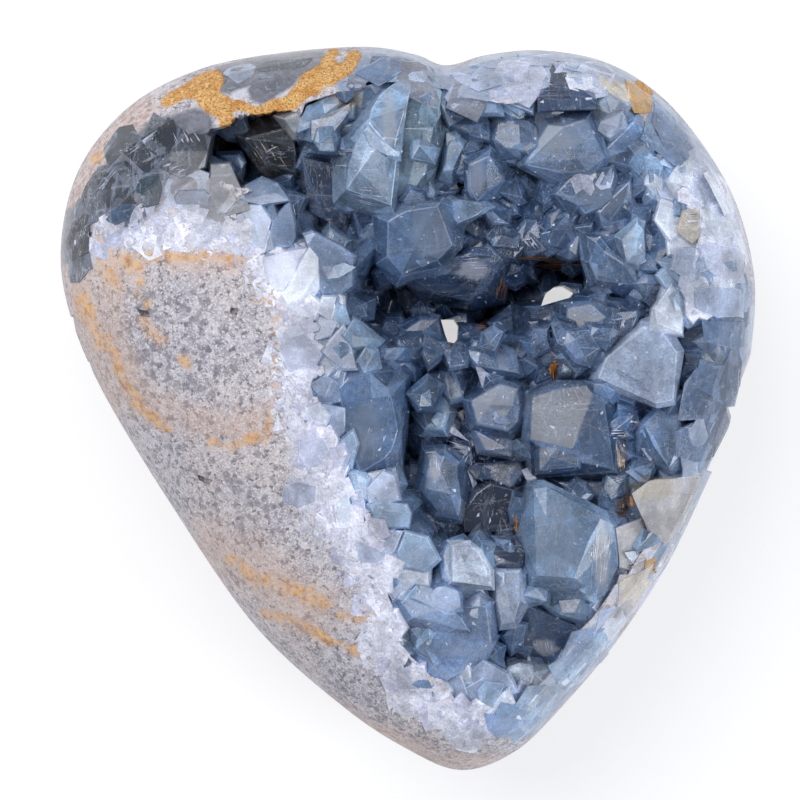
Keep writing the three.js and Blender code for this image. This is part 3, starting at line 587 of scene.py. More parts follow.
# A row is: tone; how calm its faces are; how many mm its middle lies below the domed face; how many
# degrees its flat head leans to the right and up; the share of the head that its edge faces take;
# and its outline in pixels.
large_crystals = [
    # the two lobes
    ("aqua", 1, 2, (-14, 2), 0.19, (333, 167), (350, 140), (378, 105), (408, 82), (400, 130), (393, 190),
     (395, 217), (372, 213), (340, 197)),
    ("green", 1, 2.4, (10, -6), 0.19, (408, 82), (430, 86), (441, 97), (442, 130), (436, 165), (428, 182),
     (402, 212), (388, 195), (394, 130)),
    ("slate", 1, 6, (6, -14), 0.15, (378, 218), (402, 206), (440, 203), (457, 217), (457, 247), (438, 262),
     (400, 279), (380, 262)),
    ("navy", 1, 10, (-20, -20), 0.23, (350, 204), (372, 212), (377, 235), (377, 252), (370, 257),
     (360, 247)),
    ("sky", 1, 6.5, (-5, 12), 0.23, (437, 138), (455, 131), (464, 145), (466, 163), (452, 185), (438, 180)),
    ("slate", 1, 4.5, (10, 24), 0.19, (444, 92), (470, 90), (484, 103), (494, 125), (489, 141), (470, 136),
     (444, 129)),
    ("slate", 1, 5, (-5, 14), 0.19, (495, 110), (535, 113), (540, 130), (540, 148), (520, 161), (500, 156),
     (492, 140)),
    ("slate", 1, 7.5, (15, -20), 0.28, (468, 165), (490, 150), (500, 165), (505, 182), (490, 201),
     (476, 204), (468, 190)),
    ("sky", 1, 8.5, (0, 30), 0.15, (446, 195), (480, 203), (487, 208), (480, 214), (457, 225), (446, 210)),
    ("mid", 1, 4.5, (-4, 4), 0.13, (537, 112), (590, 114), (600, 132), (605, 158), (590, 176), (560, 183),
     (522, 166), (520, 158)),
    ("ink", 1, 2, (4, 14), 0.15, (540, 92), (560, 84), (588, 92), (592, 112), (538, 110)),
    ("mid", 1, 3, (12, -12), 0.19, (636, 118), (650, 118), (660, 148), (656, 162), (640, 170), (628, 168),
     (600, 160), (600, 150)),
    ("bright", 1, 1.5, (4, 6), 0.23, (596, 88), (612, 80), (636, 98), (637, 130), (612, 146), (602, 135)),
    ("slate", 1, 7, (8, -8), 0.19, (553, 195), (575, 172), (613, 165), (618, 190), (600, 206), (570, 218)),
    ("slate", 1, 8, (10, -16), 0.23, (585, 215), (607, 192), (630, 180), (636, 205), (634, 222), (620, 240),
     (600, 228)),
    ("slate", 1, 7, (-6, -10), 0.19, (578, 228), (618, 236), (645, 268), (640, 288), (620, 295), (592, 284),
     (584, 262)),
    ("aqua", 1, 4.5, (4, 6), 0.04, (620, 240), (636, 223), (643, 230), (645, 262), (637, 266), (626, 262)),
    ("aqua", 1, 1.8, (12, 4), 0.23, (640, 182), (660, 165), (688, 165), (690, 195), (670, 207), (650, 200)),
    ("mid", 1, 1, (12, 10), 0.19, (652, 103), (663, 96), (690, 128), (686, 140), (668, 147), (656, 130)),
    # the walls of the deep valley
    ("navy", 1, 13, (6, -36), 0.19, (406, 280), (440, 262), (470, 253), (500, 250), (505, 262), (498, 298),
     (470, 302), (430, 297)),
    ("ink", 1, 14, (-10, -24), 0.28, (500, 235), (530, 232), (548, 250), (530, 262), (505, 265)),
    ("deep", 1, 12, (0, -26), 0.23, (545, 222), (568, 212), (578, 230), (578, 252), (556, 262), (540, 248)),
    ("navy", 1, 19, (-6, 26), 0.15, (505, 318), (520, 306), (545, 306), (575, 296), (578, 316), (548, 327),
     (505, 332)),
    ("navy", 1, 13, (0, 6), 0.19, (400, 328), (420, 316), (438, 318), (446, 346), (430, 362), (415, 358),
     (402, 345)),
    ("ink", 1, 12, (6, 26), 0.19, (350, 335), (372, 342), (385, 336), (402, 345), (405, 368), (380, 372),
     (356, 368)),
    ("ink", 1, 9.5, (-12, -12), 0.15, (302, 158), (335, 166), (350, 203), (346, 238), (325, 236),
     (308, 215)),
    ("mid", 1, 5, (-4, -10), 0.15, (300, 142), (335, 128), (352, 115), (372, 118), (368, 135), (350, 163),
     (305, 155)),
    ("bright", 1, 1.6, (4, 10), 0.05, (312, 142), (312, 122), (332, 118), (350, 105), (352, 112),
     (335, 132), (322, 143)),
    ("soot", 1, 7, (-8, -22), 0.28, (236, 136), (262, 121), (290, 127), (300, 150), (297, 175), (285, 183),
     (265, 165)),
    ("beige", 1, 1.2, (4, -6), 0.19, (283, 120), (298, 113), (310, 122), (306, 138), (295, 135)),
    # below the valley, left to right
    ("slate", 1, 2.6, (12, 0), 0.15, (335, 385), (345, 372), (370, 370), (395, 372), (407, 378), (399, 430),
     (398, 460), (388, 472), (360, 475), (335, 450)),
    ("mid", 1, 14, (-12, 16), 0.28, (427, 378), (432, 362), (445, 352), (460, 350), (472, 360), (465, 400),
     (450, 405)),
    ("slate", 1, 11.5, (4, 20), 0.28, (459, 349), (470, 338), (495, 335), (515, 348), (520, 362),
     (520, 375), (505, 380), (475, 366)),
    ("aqua", 1, 14.5, (-10, 18), 0.23, (522, 362), (540, 350), (553, 355), (555, 378), (540, 392),
     (524, 390)),
    ("deep", 1, 7.5, (-8, 10), 0.15, (556, 330), (565, 307), (590, 301), (635, 304), (640, 315), (620, 350),
     (600, 376), (558, 376)),
    ("bright", 6, 3.2, (3, 4), 0.03, (604, 358), (640, 325), (648, 324), (661, 332), (677, 352), (673, 402),
     (655, 404), (597, 378)),
    ("slate", 1, 1.4, (14, 2), 0.15, (682, 352), (700, 342), (738, 345), (742, 368), (732, 388), (716, 412),
     (700, 425), (684, 405)),
    ("ink", 1, 5, (0, -12), 0.23, (630, 292), (648, 280), (665, 275), (676, 285), (672, 302), (655, 308)),
    ("aqua", 1, 12.5, (-10, 20), 0.28, (415, 412), (430, 392), (446, 396), (450, 412), (444, 430),
     (425, 430)),
    ("deep", 1, 10.5, (-5, 8), 0.19, (467, 400), (478, 388), (500, 382), (520, 385), (525, 405), (520, 425),
     (508, 432), (475, 425)),
    ("deep", 1, 6.5, (-4, 4), 0.19, (528, 395), (556, 380), (598, 380), (610, 400), (614, 445), (616, 472),
     (570, 477), (532, 478), (525, 440)),
    ("navy", 1, 8, (4, 8), 0.15, (598, 404), (610, 402), (645, 407), (640, 425), (625, 438), (605, 430)),
    ("mid", 1, 2.5, (8, 4), 0.23, (630, 440), (642, 425), (658, 408), (680, 405), (690, 425), (699, 450),
     (699, 470), (668, 470), (638, 455)),
    ("slate", 1, 10, (-5, 0), 0.19, (425, 452), (445, 450), (460, 462), (462, 500), (460, 520), (435, 515),
     (420, 490)),
    ("navy", 1, 11.5, (0, 16), 0.19, (473, 430), (500, 432), (518, 442), (512, 458), (480, 452)),
    ("ink", 1, 13, (0, 12), 0.23, (462, 468), (480, 457), (520, 457), (526, 472), (512, 488), (480, 488)),
    ("midnight", 3, 11.5, (6, -4), 0.05, (463, 533), (463, 512), (475, 491), (490, 483), (515, 490),
     (519, 505), (513, 533)),
    ("ink", 1, 7, (4, 6), 0.23, (556, 481), (610, 481), (612, 498), (592, 506), (572, 498)),
    # the tip
    ("sky", 2, 2, (-4, -2), 0.15, (520, 535), (524, 505), (531, 486), (545, 484), (580, 505), (598, 514),
     (610, 524), (610, 560), (600, 590), (527, 588)),
    ("aqua", 1, 4.2, (0, -26), 0.05, (528, 588), (602, 590), (603, 604), (584, 621), (560, 614),
     (540, 602)),
    ("lavender", 3, 0.8, (-8, 6), 0.15, (393, 592), (412, 577), (432, 573), (462, 588), (470, 630),
     (440, 634), (404, 622)),
    ("lavender", 3, 0.9, (-2, -6), 0.15, (404, 652), (430, 626), (460, 598), (490, 600), (491, 640),
     (480, 662), (445, 679), (425, 672)),
    ("white", 1, 2.4, (16, 24), 0.04, (450, 542), (470, 544), (480, 552), (490, 568), (491, 585),
     (452, 580)),
    ("lavender", 1, 3.4, (-16, 14), 0.11, (437, 556), (448, 542), (453, 560), (454, 582), (442, 578)),
    ("bright", 1, 3, (0, 2), 0.04, (494, 570), (520, 569), (519, 600), (514, 620), (500, 624), (495, 600)),
    ("midnight", 1, 6, (0, 30), 0.15, (487, 552), (500, 538), (515, 535), (527, 547), (520, 567),
     (493, 568)),
    ("deep", 1, 6, (8, -18), 0.19, (500, 645), (506, 626), (525, 602), (560, 614), (578, 626), (588, 642),
     (578, 662), (562, 678), (520, 668)),
    ("white", 1, 1.4, (6, -8), 0.3, (504, 680), (512, 668), (530, 662), (550, 668), (556, 685), (550, 705),
     (532, 718), (510, 700)),
    ("sky", 1, 1.4, (10, -6), 0.23, (590, 622), (600, 606), (614, 602), (616, 615), (608, 634), (595, 642)),
]

# The open space over the floor between the crystals, as dips below the domed face. A row is: middle
# and half lengths in pixels, turn in degrees, depth in mm, and how steep the walls are.
dips = [
    ((526, 340), (186, 290), 0, 7.5, 8), ((395, 155), (105, 75), 20, 6, 6),
    ((372, 425), (62, 66), 0, 6, 6), ((490, 620), (112, 96), -40, 6, 6),
    ((668, 380), (62, 110), 0, 4, 5), ((430, 300), (88, 48), -4, 17, 6),
    ((550, 290), (88, 44), 8, 16, 4), ((500, 215), (165, 105), 0, 8, 3),
    ((490, 445), (130, 125), 0, 13, 3), ((540, 640), (60, 60), 0, 6, 3),
    ((248, 154), (60, 42), -10, 21, 4), ((325, 205), (46, 62), 30, 15, 3),
]
crust_proud = 1.5 * mm
floor_level = 9 * mm


def dip_at(x, y):
    """How far the dips take the floor of the open space down."""
    depth = 0
    for middle, half, turn, deepest, steep in dips:
        away = Vector((x, y)) - spot(*middle)
        away.rotate(Matrix.Rotation(-math.radians(turn), 2))
        share = math.hypot(away.x / (half[0] * pixel), away.y / (half[1] * pixel))
        if share < 1:
            depth += deepest * mm * (1 - share**steep)
    return depth


def floor_at(x, y):
    return max(dome_at(x, y) + crust_proud - dip_at(x, y), floor_level)


def held_inside(x, y, z, widest=0.95):
    """A corner moved in until it lies inside the stone's side."""
    out, share = way_out(x, y)
    low = max(0, rim_height - z) / back_drop
    limit = widest * (1 - min(low, 0.95) ** back_power) ** (1 / back_power)
    if share > limit:
        out *= limit / share
    return (heart_middle.x + out.x, heart_middle.y + out.y, z)


def face_plane(x, y):
    """A point of the polished face over a place and the way the face looks there."""
    step = 0.3 * mm
    widest = 0.999
    out, share = way_out(x, y)
    if share > 0.985:
        out *= 0.985 / share
    x, y = heart_middle + out
    normal = Vector((dome_at(x - step, y, widest) - dome_at(x + step, y, widest),
                     dome_at(x, y - step, widest) - dome_at(x, y + step, widest), 2 * step))
    return Vector((x, y, dome_at(x, y, widest))), normal.normalized()


def polished_off(shape, places, proud):
    """Takes off what stands above the domed face, as the polishing wheel did."""
    for place in places:
        point, normal = face_plane(*place)
        point += normal * proud
        if max((corner.co - point).dot(normal) for corner in shape.verts) > 0.001 * mm:
            bmesh.ops.bisect_plane(shape, geom=[*shape.verts, *shape.edges, *shape.faces], dist=1e-7,
                                   plane_co=point, plane_no=normal, clear_outer=True)
        if len(shape.verts) < 4:
            return


def closed_round(shape):
    """Closes a crystal round its corners with flat faces."""
    bmesh.ops.delete(shape, geom=shape.edges[:], context="EDGES_FACES")
    bmesh.ops.remove_doubles(shape, verts=shape.verts, dist=0.005 * mm)
    made = bmesh.ops.convex_hull(shape, input=shape.verts)
    spare = set(corners_in(made["geom_interior"] + made["geom_unused"]))
    bmesh.ops.delete(shape, geom=list(spare), context="VERTS")
    bmesh.ops.dissolve_limit(shape, angle_limit=math.radians(3), verts=shape.verts, edges=shape.edges)


def crystal(outline, top, slopes, bevel, chance, edge_wear_and_highlight, shoulder=1.6 * mm, root=15 * mm, roof=0.09,
            proud=0):
    """One crystal over its head's outline: a head of a few large faces that lean with slopes and
    meet in a ridge, slanted faces round it, a shoulder that slants less, sides that go down to the
    root, and narrow worn edges."""
    shape = bmesh.new()
    x, y, z = top
    axis = max(outline, key=lambda corner: corner.length)
    for share in (-0.3, 0.3):
        along = share + chance.uniform(-0.15, 0.15)
        dx, dy = axis * along + axis.orthogonal() * chance.uniform(-0.2, 0.2)
        rise = roof * axis.length * chance.uniform(0.3, 1.1)
        shape.verts.new((x + dx, y + dy, z - slopes[0] * dx - slopes[1] * dy + rise))
    head_inside = 0.98
    for dx, dy in outline:
        cut = bevel * (0.3 + 3 * chance.random() ** 2)
        fall = slopes[0] * dx + slopes[1] * dy
        reach = math.hypot(dx, dy)
        out = 1 + shoulder * chance.uniform(0.3, 1) / reach
        brim = z - fall - 1.3 * cut * reach
        bend = brim - (out - 1) * reach * chance.uniform(1.3, 2.6)
        foot = min(bend - 1 * mm, max(z - root, 4 * mm))
        flat = 1 - cut
        shape.verts.new(held_inside(x + dx * flat, y + dy * flat, z - fall * flat, head_inside))
        shape.verts.new(held_inside(x + dx, y + dy, brim, head_inside))
        shape.verts.new(held_inside(x + dx * out, y + dy * out, bend))
        shape.verts.new(held_inside(x + dx * out * 1.08, y + dy * out * 1.08, foot))
    bmesh.ops.convex_hull(shape, input=shape.verts)
    polished_off(shape, [(x, y), *((x + dx, y + dy) for dx, dy in outline)], proud)
    if len(shape.verts) < 4:
        shape.clear()
        return shape
    closed_round(shape)
    if edge_wear_and_highlight:
        sharp = [edge for edge in shape.edges if edge.calc_face_angle(0) > math.radians(14)]
        bmesh.ops.bevel(shape, geom=sharp, offset=edge_wear_and_highlight, offset_type="OFFSET", segments=1,
                        profile=0.5, affect="EDGES", material=-1, clamp_overlap=True)
    return shape


def toned(shape, tone, chance, spread=0.3, edge_wear_and_highlight=0.2):
    """Gives each face of a crystal its own shade of the crystal's tone, at random: partly colour
    zoning, partly a painted sheen for how each facet catches the light. Its narrow worn edges are
    painted paler, as a painted highlight."""
    layer = shape.faces.layers.float_color.new("tone")
    largest = max((face.calc_area() for face in shape.faces), default=0)
    narrow = 0.03 * largest
    for face in shape.faces:
        # Partly painted sheen: each face gets a random lighter or darker shade, partly colour zoning and
        # partly a stand-in for how each facet catches the light.
        shade = Vector(tone[:3]) * (1 + spread * (2 * chance.random() - 1))
        # Painted highlight: the narrow bevel faces are made paler, as if they caught the light.
        if face.calc_area() < narrow:
            shade = (1.4 * shade).lerp(Vector(tones["bright"][:3]), edge_wear_and_highlight)
        face[layer] = (*shade, 1)


def gathered(name, shapes):
    """Many small meshes as one object."""
    whole = bmesh.new()
    whole.faces.layers.float_color.new("tone")
    for shape in shapes:
        part = bpy.data.meshes.new("part")
        shape.to_mesh(part)
        shape.free()
        whole.from_mesh(part)
        bpy.data.meshes.remove(part)
    bmesh.ops.triangulate(whole, faces=[face for face in whole.faces if len(face.verts) > 4])
    return object_from(name, whole)


def free_outline(chance, least, most):
    """An uneven outline of five or six corners round nothing."""
    sides = chance.choice((5, 6))
    turn = chance.uniform(0, 2 * math.pi)
    angles = [turn + 2 * math.pi * (side + chance.uniform(-0.3, 0.3)) / sides for side in range(sides)]
    return [
        chance.uniform(least, most) * Vector((math.cos(angle), math.sin(angle))) for angle in angles
    ]


def floor_slopes(x, y):
    """How steeply the floor of the open space falls to the right and up."""
    step = 0.5 * mm
    fall = (
        (floor_at(x - step, y) - floor_at(x + step, y)) / (2 * step),
        (floor_at(x, y - step) - floor_at(x, y + step)) / (2 * step),
    )
    return [max(-1, min(1, slope)) for slope in fall]


def depth_shaded_blue(depth, chance):
    """The tone of a crystal that stands so deep: pale at the top, dark blue far down, a painted shade that
    deepens towards the bottom of the hollow.
    """
    if depth < 3 * mm:
        return Vector(tones[chance.choice(("aqua", "bright", "sky", "sky"))][:3])
    dark = max(0, min(1, (depth - 7 * mm) / (9 * mm)))
    light = Vector(tones[chance.choice(("mid", "slate", "sky", "slate"))][:3])
    return light.lerp(Vector(tones["navy"][:3]), dark)


def fall_along(slopes, way):
    return slopes[0] * way.x + slopes[1] * way.y


crystal_shapes = []
worn_edge = 0.13 * mm
small_worn_edge = 0.06 * mm
roof_height = 0.09
small_roof = 0.25
for number, (tone, calm, deep, look, bevel, *corners) in enumerate(large_crystals):
    chance = Random(number)
    corners = spots(corners)
    middle = middle_of(corners)
    outline = [corner - middle for corner in corners]
    slopes = [math.tan(math.radians(angle)) for angle in look]
    top = (*middle, dome_at(*middle) - deep * mm)
    shape = crystal(outline, top, slopes, bevel, chance, worn_edge, roof=roof_height / calm)
    toned(shape, tones[tone], chance, 0.3 / calm)
    crystal_shapes.append(shape)

    # A second crystal has grown into its side at another angle.
    share = chance.uniform(0.35, 0.6)
    aside = chance.choice(outline) * chance.uniform(0.35, 0.6)
    lift = chance.uniform(-0.3, 0.25) * mm - fall_along(slopes, aside)
    tilted = [slope + chance.uniform(-0.2, 0.2) / calm for slope in slopes]
    shape = crystal([corner * share for corner in outline],
                    (top[0] + aside.x, top[1] + aside.y, top[2] + lift), tilted, 0.08, chance,
                    worn_edge, shoulder=0.5 * mm, root=6 * mm, roof=roof_height / calm)
    toned(shape, tones[tone], chance, 0.3 / calm)
    crystal_shapes.append(shape)

    # Younger crystals lean out round its foot and close the gaps to the next ones.
    for side in range(5):
        angle = 2 * math.pi * (side + chance.uniform(-0.4, 0.4)) / 5
        way = Vector((math.cos(angle), math.sin(angle)))
        reach = max(corner.dot(way) for corner in outline)
        place = middle + way * (reach + chance.uniform(0.1, 1.6) * mm)
        level = top[2] - fall_along(slopes, way) * reach - chance.uniform(2, 5) * mm
        if level < floor_at(*place) - 1 * mm:
            continue
        lean = [slope + 0.5 * part + chance.uniform(-0.25, 0.25) for slope, part in zip(slopes, way)]
        shape = crystal(free_outline(chance, 1.3 * mm, 3.0 * mm), (*place, level), lean, 0.12,
                        chance, small_worn_edge, shoulder=0.8 * mm, root=9 * mm, roof=small_roof)
        toned(shape, depth_shaded_blue(dome_at(*place) - level, chance), chance)
        crystal_shapes.append(shape)

# Smaller crystals fill what is left, each leaning with the slope of the floor.
small_row = 3.6 * mm
rows = math.ceil(heart_width / 2 / small_row)
chance = Random(7)
for row in range(-rows, rows + 1):
    for column in range(-rows, rows + 1):
        x = (column + chance.uniform(-0.45, 0.45)) * small_row
        y = (row + chance.uniform(-0.45, 0.45)) * small_row
        depth = dip_at(x, y)
        if depth < 2 * crust_proud:
            continue
        slopes = [slope * 0.6 + chance.uniform(-0.4, 0.4) for slope in floor_slopes(x, y)]
        level = floor_at(x, y) + chance.uniform(0.2, 2.2) * mm
        shape = crystal(free_outline(chance, 1.3 * mm, 3.2 * mm), (x, y, level), slopes, 0.12,
                        chance, small_worn_edge, shoulder=0.9 * mm, root=8 * mm, roof=small_roof)
        toned(shape, depth_shaded_blue(dome_at(x, y) - level, chance), chance)
        crystal_shapes.append(shape)

# The floor under them is a faceted block that fills the rest of the hollow.
floor_cells = 60
floor_cover = 0.7 * mm  # how far it stays under the face
floor_uneven = 0.7 * mm
block = bmesh.new()
sheet = bmesh.ops.create_grid(block, x_segments=floor_cells, y_segments=floor_cells, size=52 * mm)
for corner in sheet["verts"]:
    x = corner.co.x + chance.uniform(-0.6, 0.6) * mm
    y = corner.co.y + chance.uniform(-0.6, 0.6) * mm
    level = min(floor_at(x, y), dome_at(x, y) - floor_cover)
    corner.co = (x, y, level + chance.uniform(-1, 1) * floor_uneven)
block_tone = block.faces.layers.float_color.new("tone")
# Painted shade: the floor block darkens with depth, like the crystals on it.
for face in block.faces:
    where = face.calc_center_median()
    shade = depth_shaded_blue(dome_at(where.x, where.y) - where.z, chance) * chance.uniform(0.9, 1.35)
    face[block_tone] = (*shade, 1)
lowered = bmesh.ops.extrude_face_region(block, geom=block.faces[:])
for corner in corners_in(lowered["geom"]):
    corner.co.z = 0
bmesh.ops.recalc_face_normals(block, faces=block.faces)
crust_floor = object_from("crust_floor", block)
carve(crust_floor, cushion("hollow", **hollow, drop=44.3 * mm, detail=5), "INTERSECT")
floor_shape = bmesh.new()
floor_shape.from_mesh(crust_floor.data)
bpy.data.objects.remove(crust_floor)
crystal_shapes.append(floor_shape)

crust = gathered("celestite_crystals", crystal_shapes)
for cutter in hole_cutters():
    carve(crust, cutter)


def celestite(name, see_through, inside, density, cloudy, dusty, rough, gain=1.0, patches=(),
              tint=(0.88, 1, 1.07), mottled=1.0):
    """Natural crystal: tinted and partly see-through, with clouds, fine healed cracks along its
    growth, grains of dust, and patches where frost or stain breaks through the tint, some of which
    are painted highlights on faces that catch the light."""
    material, tree, shader = new_material(name, IOR=1.62, Transmission_Weight=see_through)
    place = add(tree, "ShaderNodeTexCoord").outputs["Object"]
    tone = stored(tree, "tone").outputs["Color"]
    body = grain(tree, place, 7 * mm, 3, 0.6, 0.5)
    cloud = grain(tree, place, 2.8 * mm, 6, 0.75, 0.9)
    mist = grain(tree, place, 0.8 * mm, 5, 0.8)
    powder = grain(tree, place, 0.28 * mm, 3, 0.7)
    bright = maths(tree, "MULTIPLY_ADD", between(tree, body, 0.35, 0.65), 0.55 * gain, 0.7 * gain)
    for noisy, strength in ((cloud, 1.2), (mist, 1.2), (powder, 1.5)):
        amount = strength * mottled
        spotty = maths(tree, "MULTIPLY_ADD", noisy, amount, 1 - amount / 2)
        bright = maths(tree, "MULTIPLY", bright, spotty)
    red, green, blue = (maths(tree, "MULTIPLY", bright, part) for part in tint)
    lit = add(tree, "ShaderNodeCombineColor", Red=red, Green=green, Blue=blue).outputs[0]
    color = mixed(tree, 1.0, tone, lit, "MULTIPLY")

    torn = maths(tree, "MULTIPLY_ADD", cloud, 1.4, maths(tree, "MULTIPLY_ADD", powder, 0.9, -1.15))
    for patch_tone, middle, half, strongest in patches:
        away = vector_maths(tree, "SUBTRACT", place, (*spot(*middle), 0))
        shrunk = vector_maths(tree, "MULTIPLY", away, (*(1 / (length * pixel) for length in half), 0))
        reach = maths(tree, "ADD", vector_maths(tree, "LENGTH", shrunk), torn)
        share = maths(tree, "MULTIPLY", between(tree, reach, 1.0, 0.55), strongest)
        color = mixed(tree, share, color, tones[patch_tone])

    # Healed cracks: thin pale lines where two stretched noises pass their middle.
    for turn, stretch in (((0.3, 0.5, 0.6), (1, 0.3, 0.6)), ((0.9, 0.2, 2.1), (0.25, 1, 0.8))):
        grown = add(tree, "ShaderNodeMapping", Vector=place, Rotation=turn, Scale=stretch)
        wave = grain(tree, grown.outputs[0], 2.2 * mm, 5, 0.62, 0.9)
        line = between(tree, maths(tree, "ABSOLUTE", maths(tree, "SUBTRACT", wave, 0.5)), 0.012, 0.0)
        patch = between(tree, grain(tree, grown.outputs[0], 5 * mm, 2), 0.48, 0.66)
        share = maths(tree, "MULTIPLY", maths(tree, "MULTIPLY", line, patch), cloudy)
        color = mixed(tree, share, color, ink(214, 219, 233))
        veil = maths(tree, "MULTIPLY", between(tree, wave, 0.54, 0.74), 0.7 * cloudy)
        color = mixed(tree, veil, color, ink(188, 200, 224))

    dust = cells(tree, place, 0.75 * mm)
    speck = maths(tree, "MULTIPLY", between(tree, dust.outputs["Distance"], 0.24, 0.12),
                  between(tree, chance_of(tree, dust), 1 - dusty, 1.02 - dusty))
    color = mixed(tree, maths(tree, "MULTIPLY", speck, 0.8), color, ink(232, 234, 242))
    tree.links.new(color, shader.inputs["Base Color"])
    tree.links.new(between(tree, mist, 0.3, 0.7, *rough), shader.inputs["Roughness"])
    height = maths(tree, "MULTIPLY_ADD", mist, 0.5, cloud)
    bump = add(tree, "ShaderNodeBump", Strength=0.3, Distance=0.15 * mm, Height=height)
    tree.links.new(bump.outputs[0], shader.inputs["Normal"])
    depths = add(tree, "ShaderNodeVolumeAbsorption", Color=inside, Density=density)
    tree.links.new(depths.outputs[0], tree.nodes["Material Output"].inputs["Volume"])
    return material


def dressed(piece, material, replaces=None):
    piece.data.materials.clear()
    piece.data.materials.append(material)
    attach(piece, "root")
    if replaces:
        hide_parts(replaces)


# Frost and stain on the large crystals, and painted highlights on faces that catch the light. A row is:
# tone, middle and half lengths in pixels, share.
frost_and_highlight = [
    ("frost_and_highlight", (601, 556), (9, 38), 0.85), ("frost_and_highlight", (389, 118), (9, 34), 0.6),
    ("gold", (348, 100), (18, 15), 0.8), ("frost_and_highlight", (474, 270), (20, 12), 0.7),
    ("haze", (556, 134), (34, 24), 0.5), ("haze", (430, 232), (26, 26), 0.45),
    ("haze", (495, 395), (20, 12), 0.3), ("haze", (560, 418), (30, 26), 0.25),
    ("haze", (556, 546), (32, 42), 0.45), ("frost_and_highlight", (435, 466), (7, 18), 0.8),
    ("frost_and_highlight", (545, 646), (14, 10), 0.7), ("haze", (366, 430), (22, 34), 0.45),
    ("frost_and_highlight", (652, 118), (14, 18), 0.35), ("haze", (612, 112), (14, 28), 0.6),
    ("haze", (600, 196), (34, 22), 0.5), ("frost_and_highlight", (476, 180), (12, 22), 0.4),
    ("brown", (621, 508), (9, 14), 0.8), ("brown", (622, 452), (6, 24), 0.6),
    ("brown", (700, 430), (9, 12), 0.5), ("gold", (652, 488), (30, 14), 0.5),
]

dressed(crust, celestite("clear_celestite", see_through=0.6, inside=(0.16, 0.48, 0.75, 1), density=25,
                         cloudy=0.9, dusty=0.16, rough=(0.05, 0.22), gain=1.25, patches=frost_and_highlight),
        "celestite_crust")

# The pale crystals stand on the shoulders of the hollow, where the crust thins out towards the marl:
# short, frosted and almost white, ground flush with the face where they reach it. A row is: half
# width in pixels, the tones to choose from, and the middle line.
pale_strokes = [
    (22, "bright bright aqua white", (300, 262), (316, 290), (318, 330), (312, 380), (316, 420)),
    (24, "white bright aqua aqua", (345, 470), (368, 520), (395, 560)),
    (22, "white bright aqua sky", (665, 170), (692, 225), (692, 285), (672, 312)),
    (15, "beige bright white sky", (700, 455), (692, 500), (665, 545), (640, 590), (606, 640), (570, 690)),
    (24, "white pearl veil", (430, 676), (480, 704), (525, 712)),
    (12, "aqua sky bright", (478, 96), (510, 92), (545, 82)),
]


def scattered(strokes, row, seed):
    """Places on an uneven grid over some strokes, each with the tones of its stroke and the room up
    to the limonite, which stays bare."""
    random = np.random.default_rng(seed)
    steps = np.arange(-56 * mm, 56 * mm, row)
    grid = np.stack(np.meshgrid(steps, steps), axis=-1).reshape(-1, 2)
    grid += random.uniform(-0.45, 0.45, grid.shape) * row
    bare = [away_from(line, grid) - half * pixel for half, *line in face_strokes["limonite"]]
    room = np.min(bare, axis=0)
    taken = room < 4 * pixel
    found = []
    for half, choices, *line in strokes:
        reach = half * pixel * random.uniform(0.75, 1.15, len(grid))
        near = (away_from(line, grid) < reach) & ~taken
        taken |= near
        for place, free in zip(grid[near], room[near]):
            found.append((Vector(place), choices.split(), float(free)))
    return found


def face_slopes(place, lean):
    """How steeply the polished face falls to the right and up at a place, leant by some degrees."""
    normal = face_plane(*place)[1]
    return [
        max(-1.6, min(1.6, way / normal.z)) + math.tan(math.radians(angle))
        for way, angle in zip(normal[:2], lean)
    ]


def field(strokes, row, seed, sizes, sunk, lean, bevel=0.14, edge_wear_and_highlight=0.05 * mm, spread=0.2,
          edge_highlight=0.2, roof=0.12):
    """Crystals over some strokes: sunk is how far their heads lie under the polished face."""
    chance = Random(seed)
    least, most = sizes
    shapes = []
    for place, choices, room in scattered(strokes, row, seed):
        slopes = face_slopes(place, [chance.gauss(0, lean) for way in "xy"])
        level = dome_at(*place) - chance.uniform(*sunk)
        outline = free_outline(chance, min(least, 0.7 * room), min(most, room))
        shape = crystal(outline, (*place, level), slopes, bevel, chance, edge_wear_and_highlight, shoulder=0.4 * mm,
                        root=4 * mm, roof=roof)
        toned(shape, tones[chance.choice(choices)], chance, spread, edge_highlight)
        shapes.append(shape)
    return shapes


def single(crystals, seed, spread):
    """Crystals with outlines of their own, calm and all but flush with the polished face."""
    shapes = []
    for number, (tone, deep, look, *corners) in enumerate(crystals):
        chance = Random(seed + number)
        corners = spots(corners)
        middle = middle_of(corners)
        top = (*middle, dome_at(*middle) - deep * mm)
        shape = crystal([corner - middle for corner in corners], top, face_slopes(middle, look), 0.04,
                        chance, 0.08 * mm, shoulder=0.5 * mm, root=5 * mm, roof=0.04, proud=0.12 * mm)
        toned(shape, tones[tone], chance, spread)
        shapes.append(shape)
    return shapes


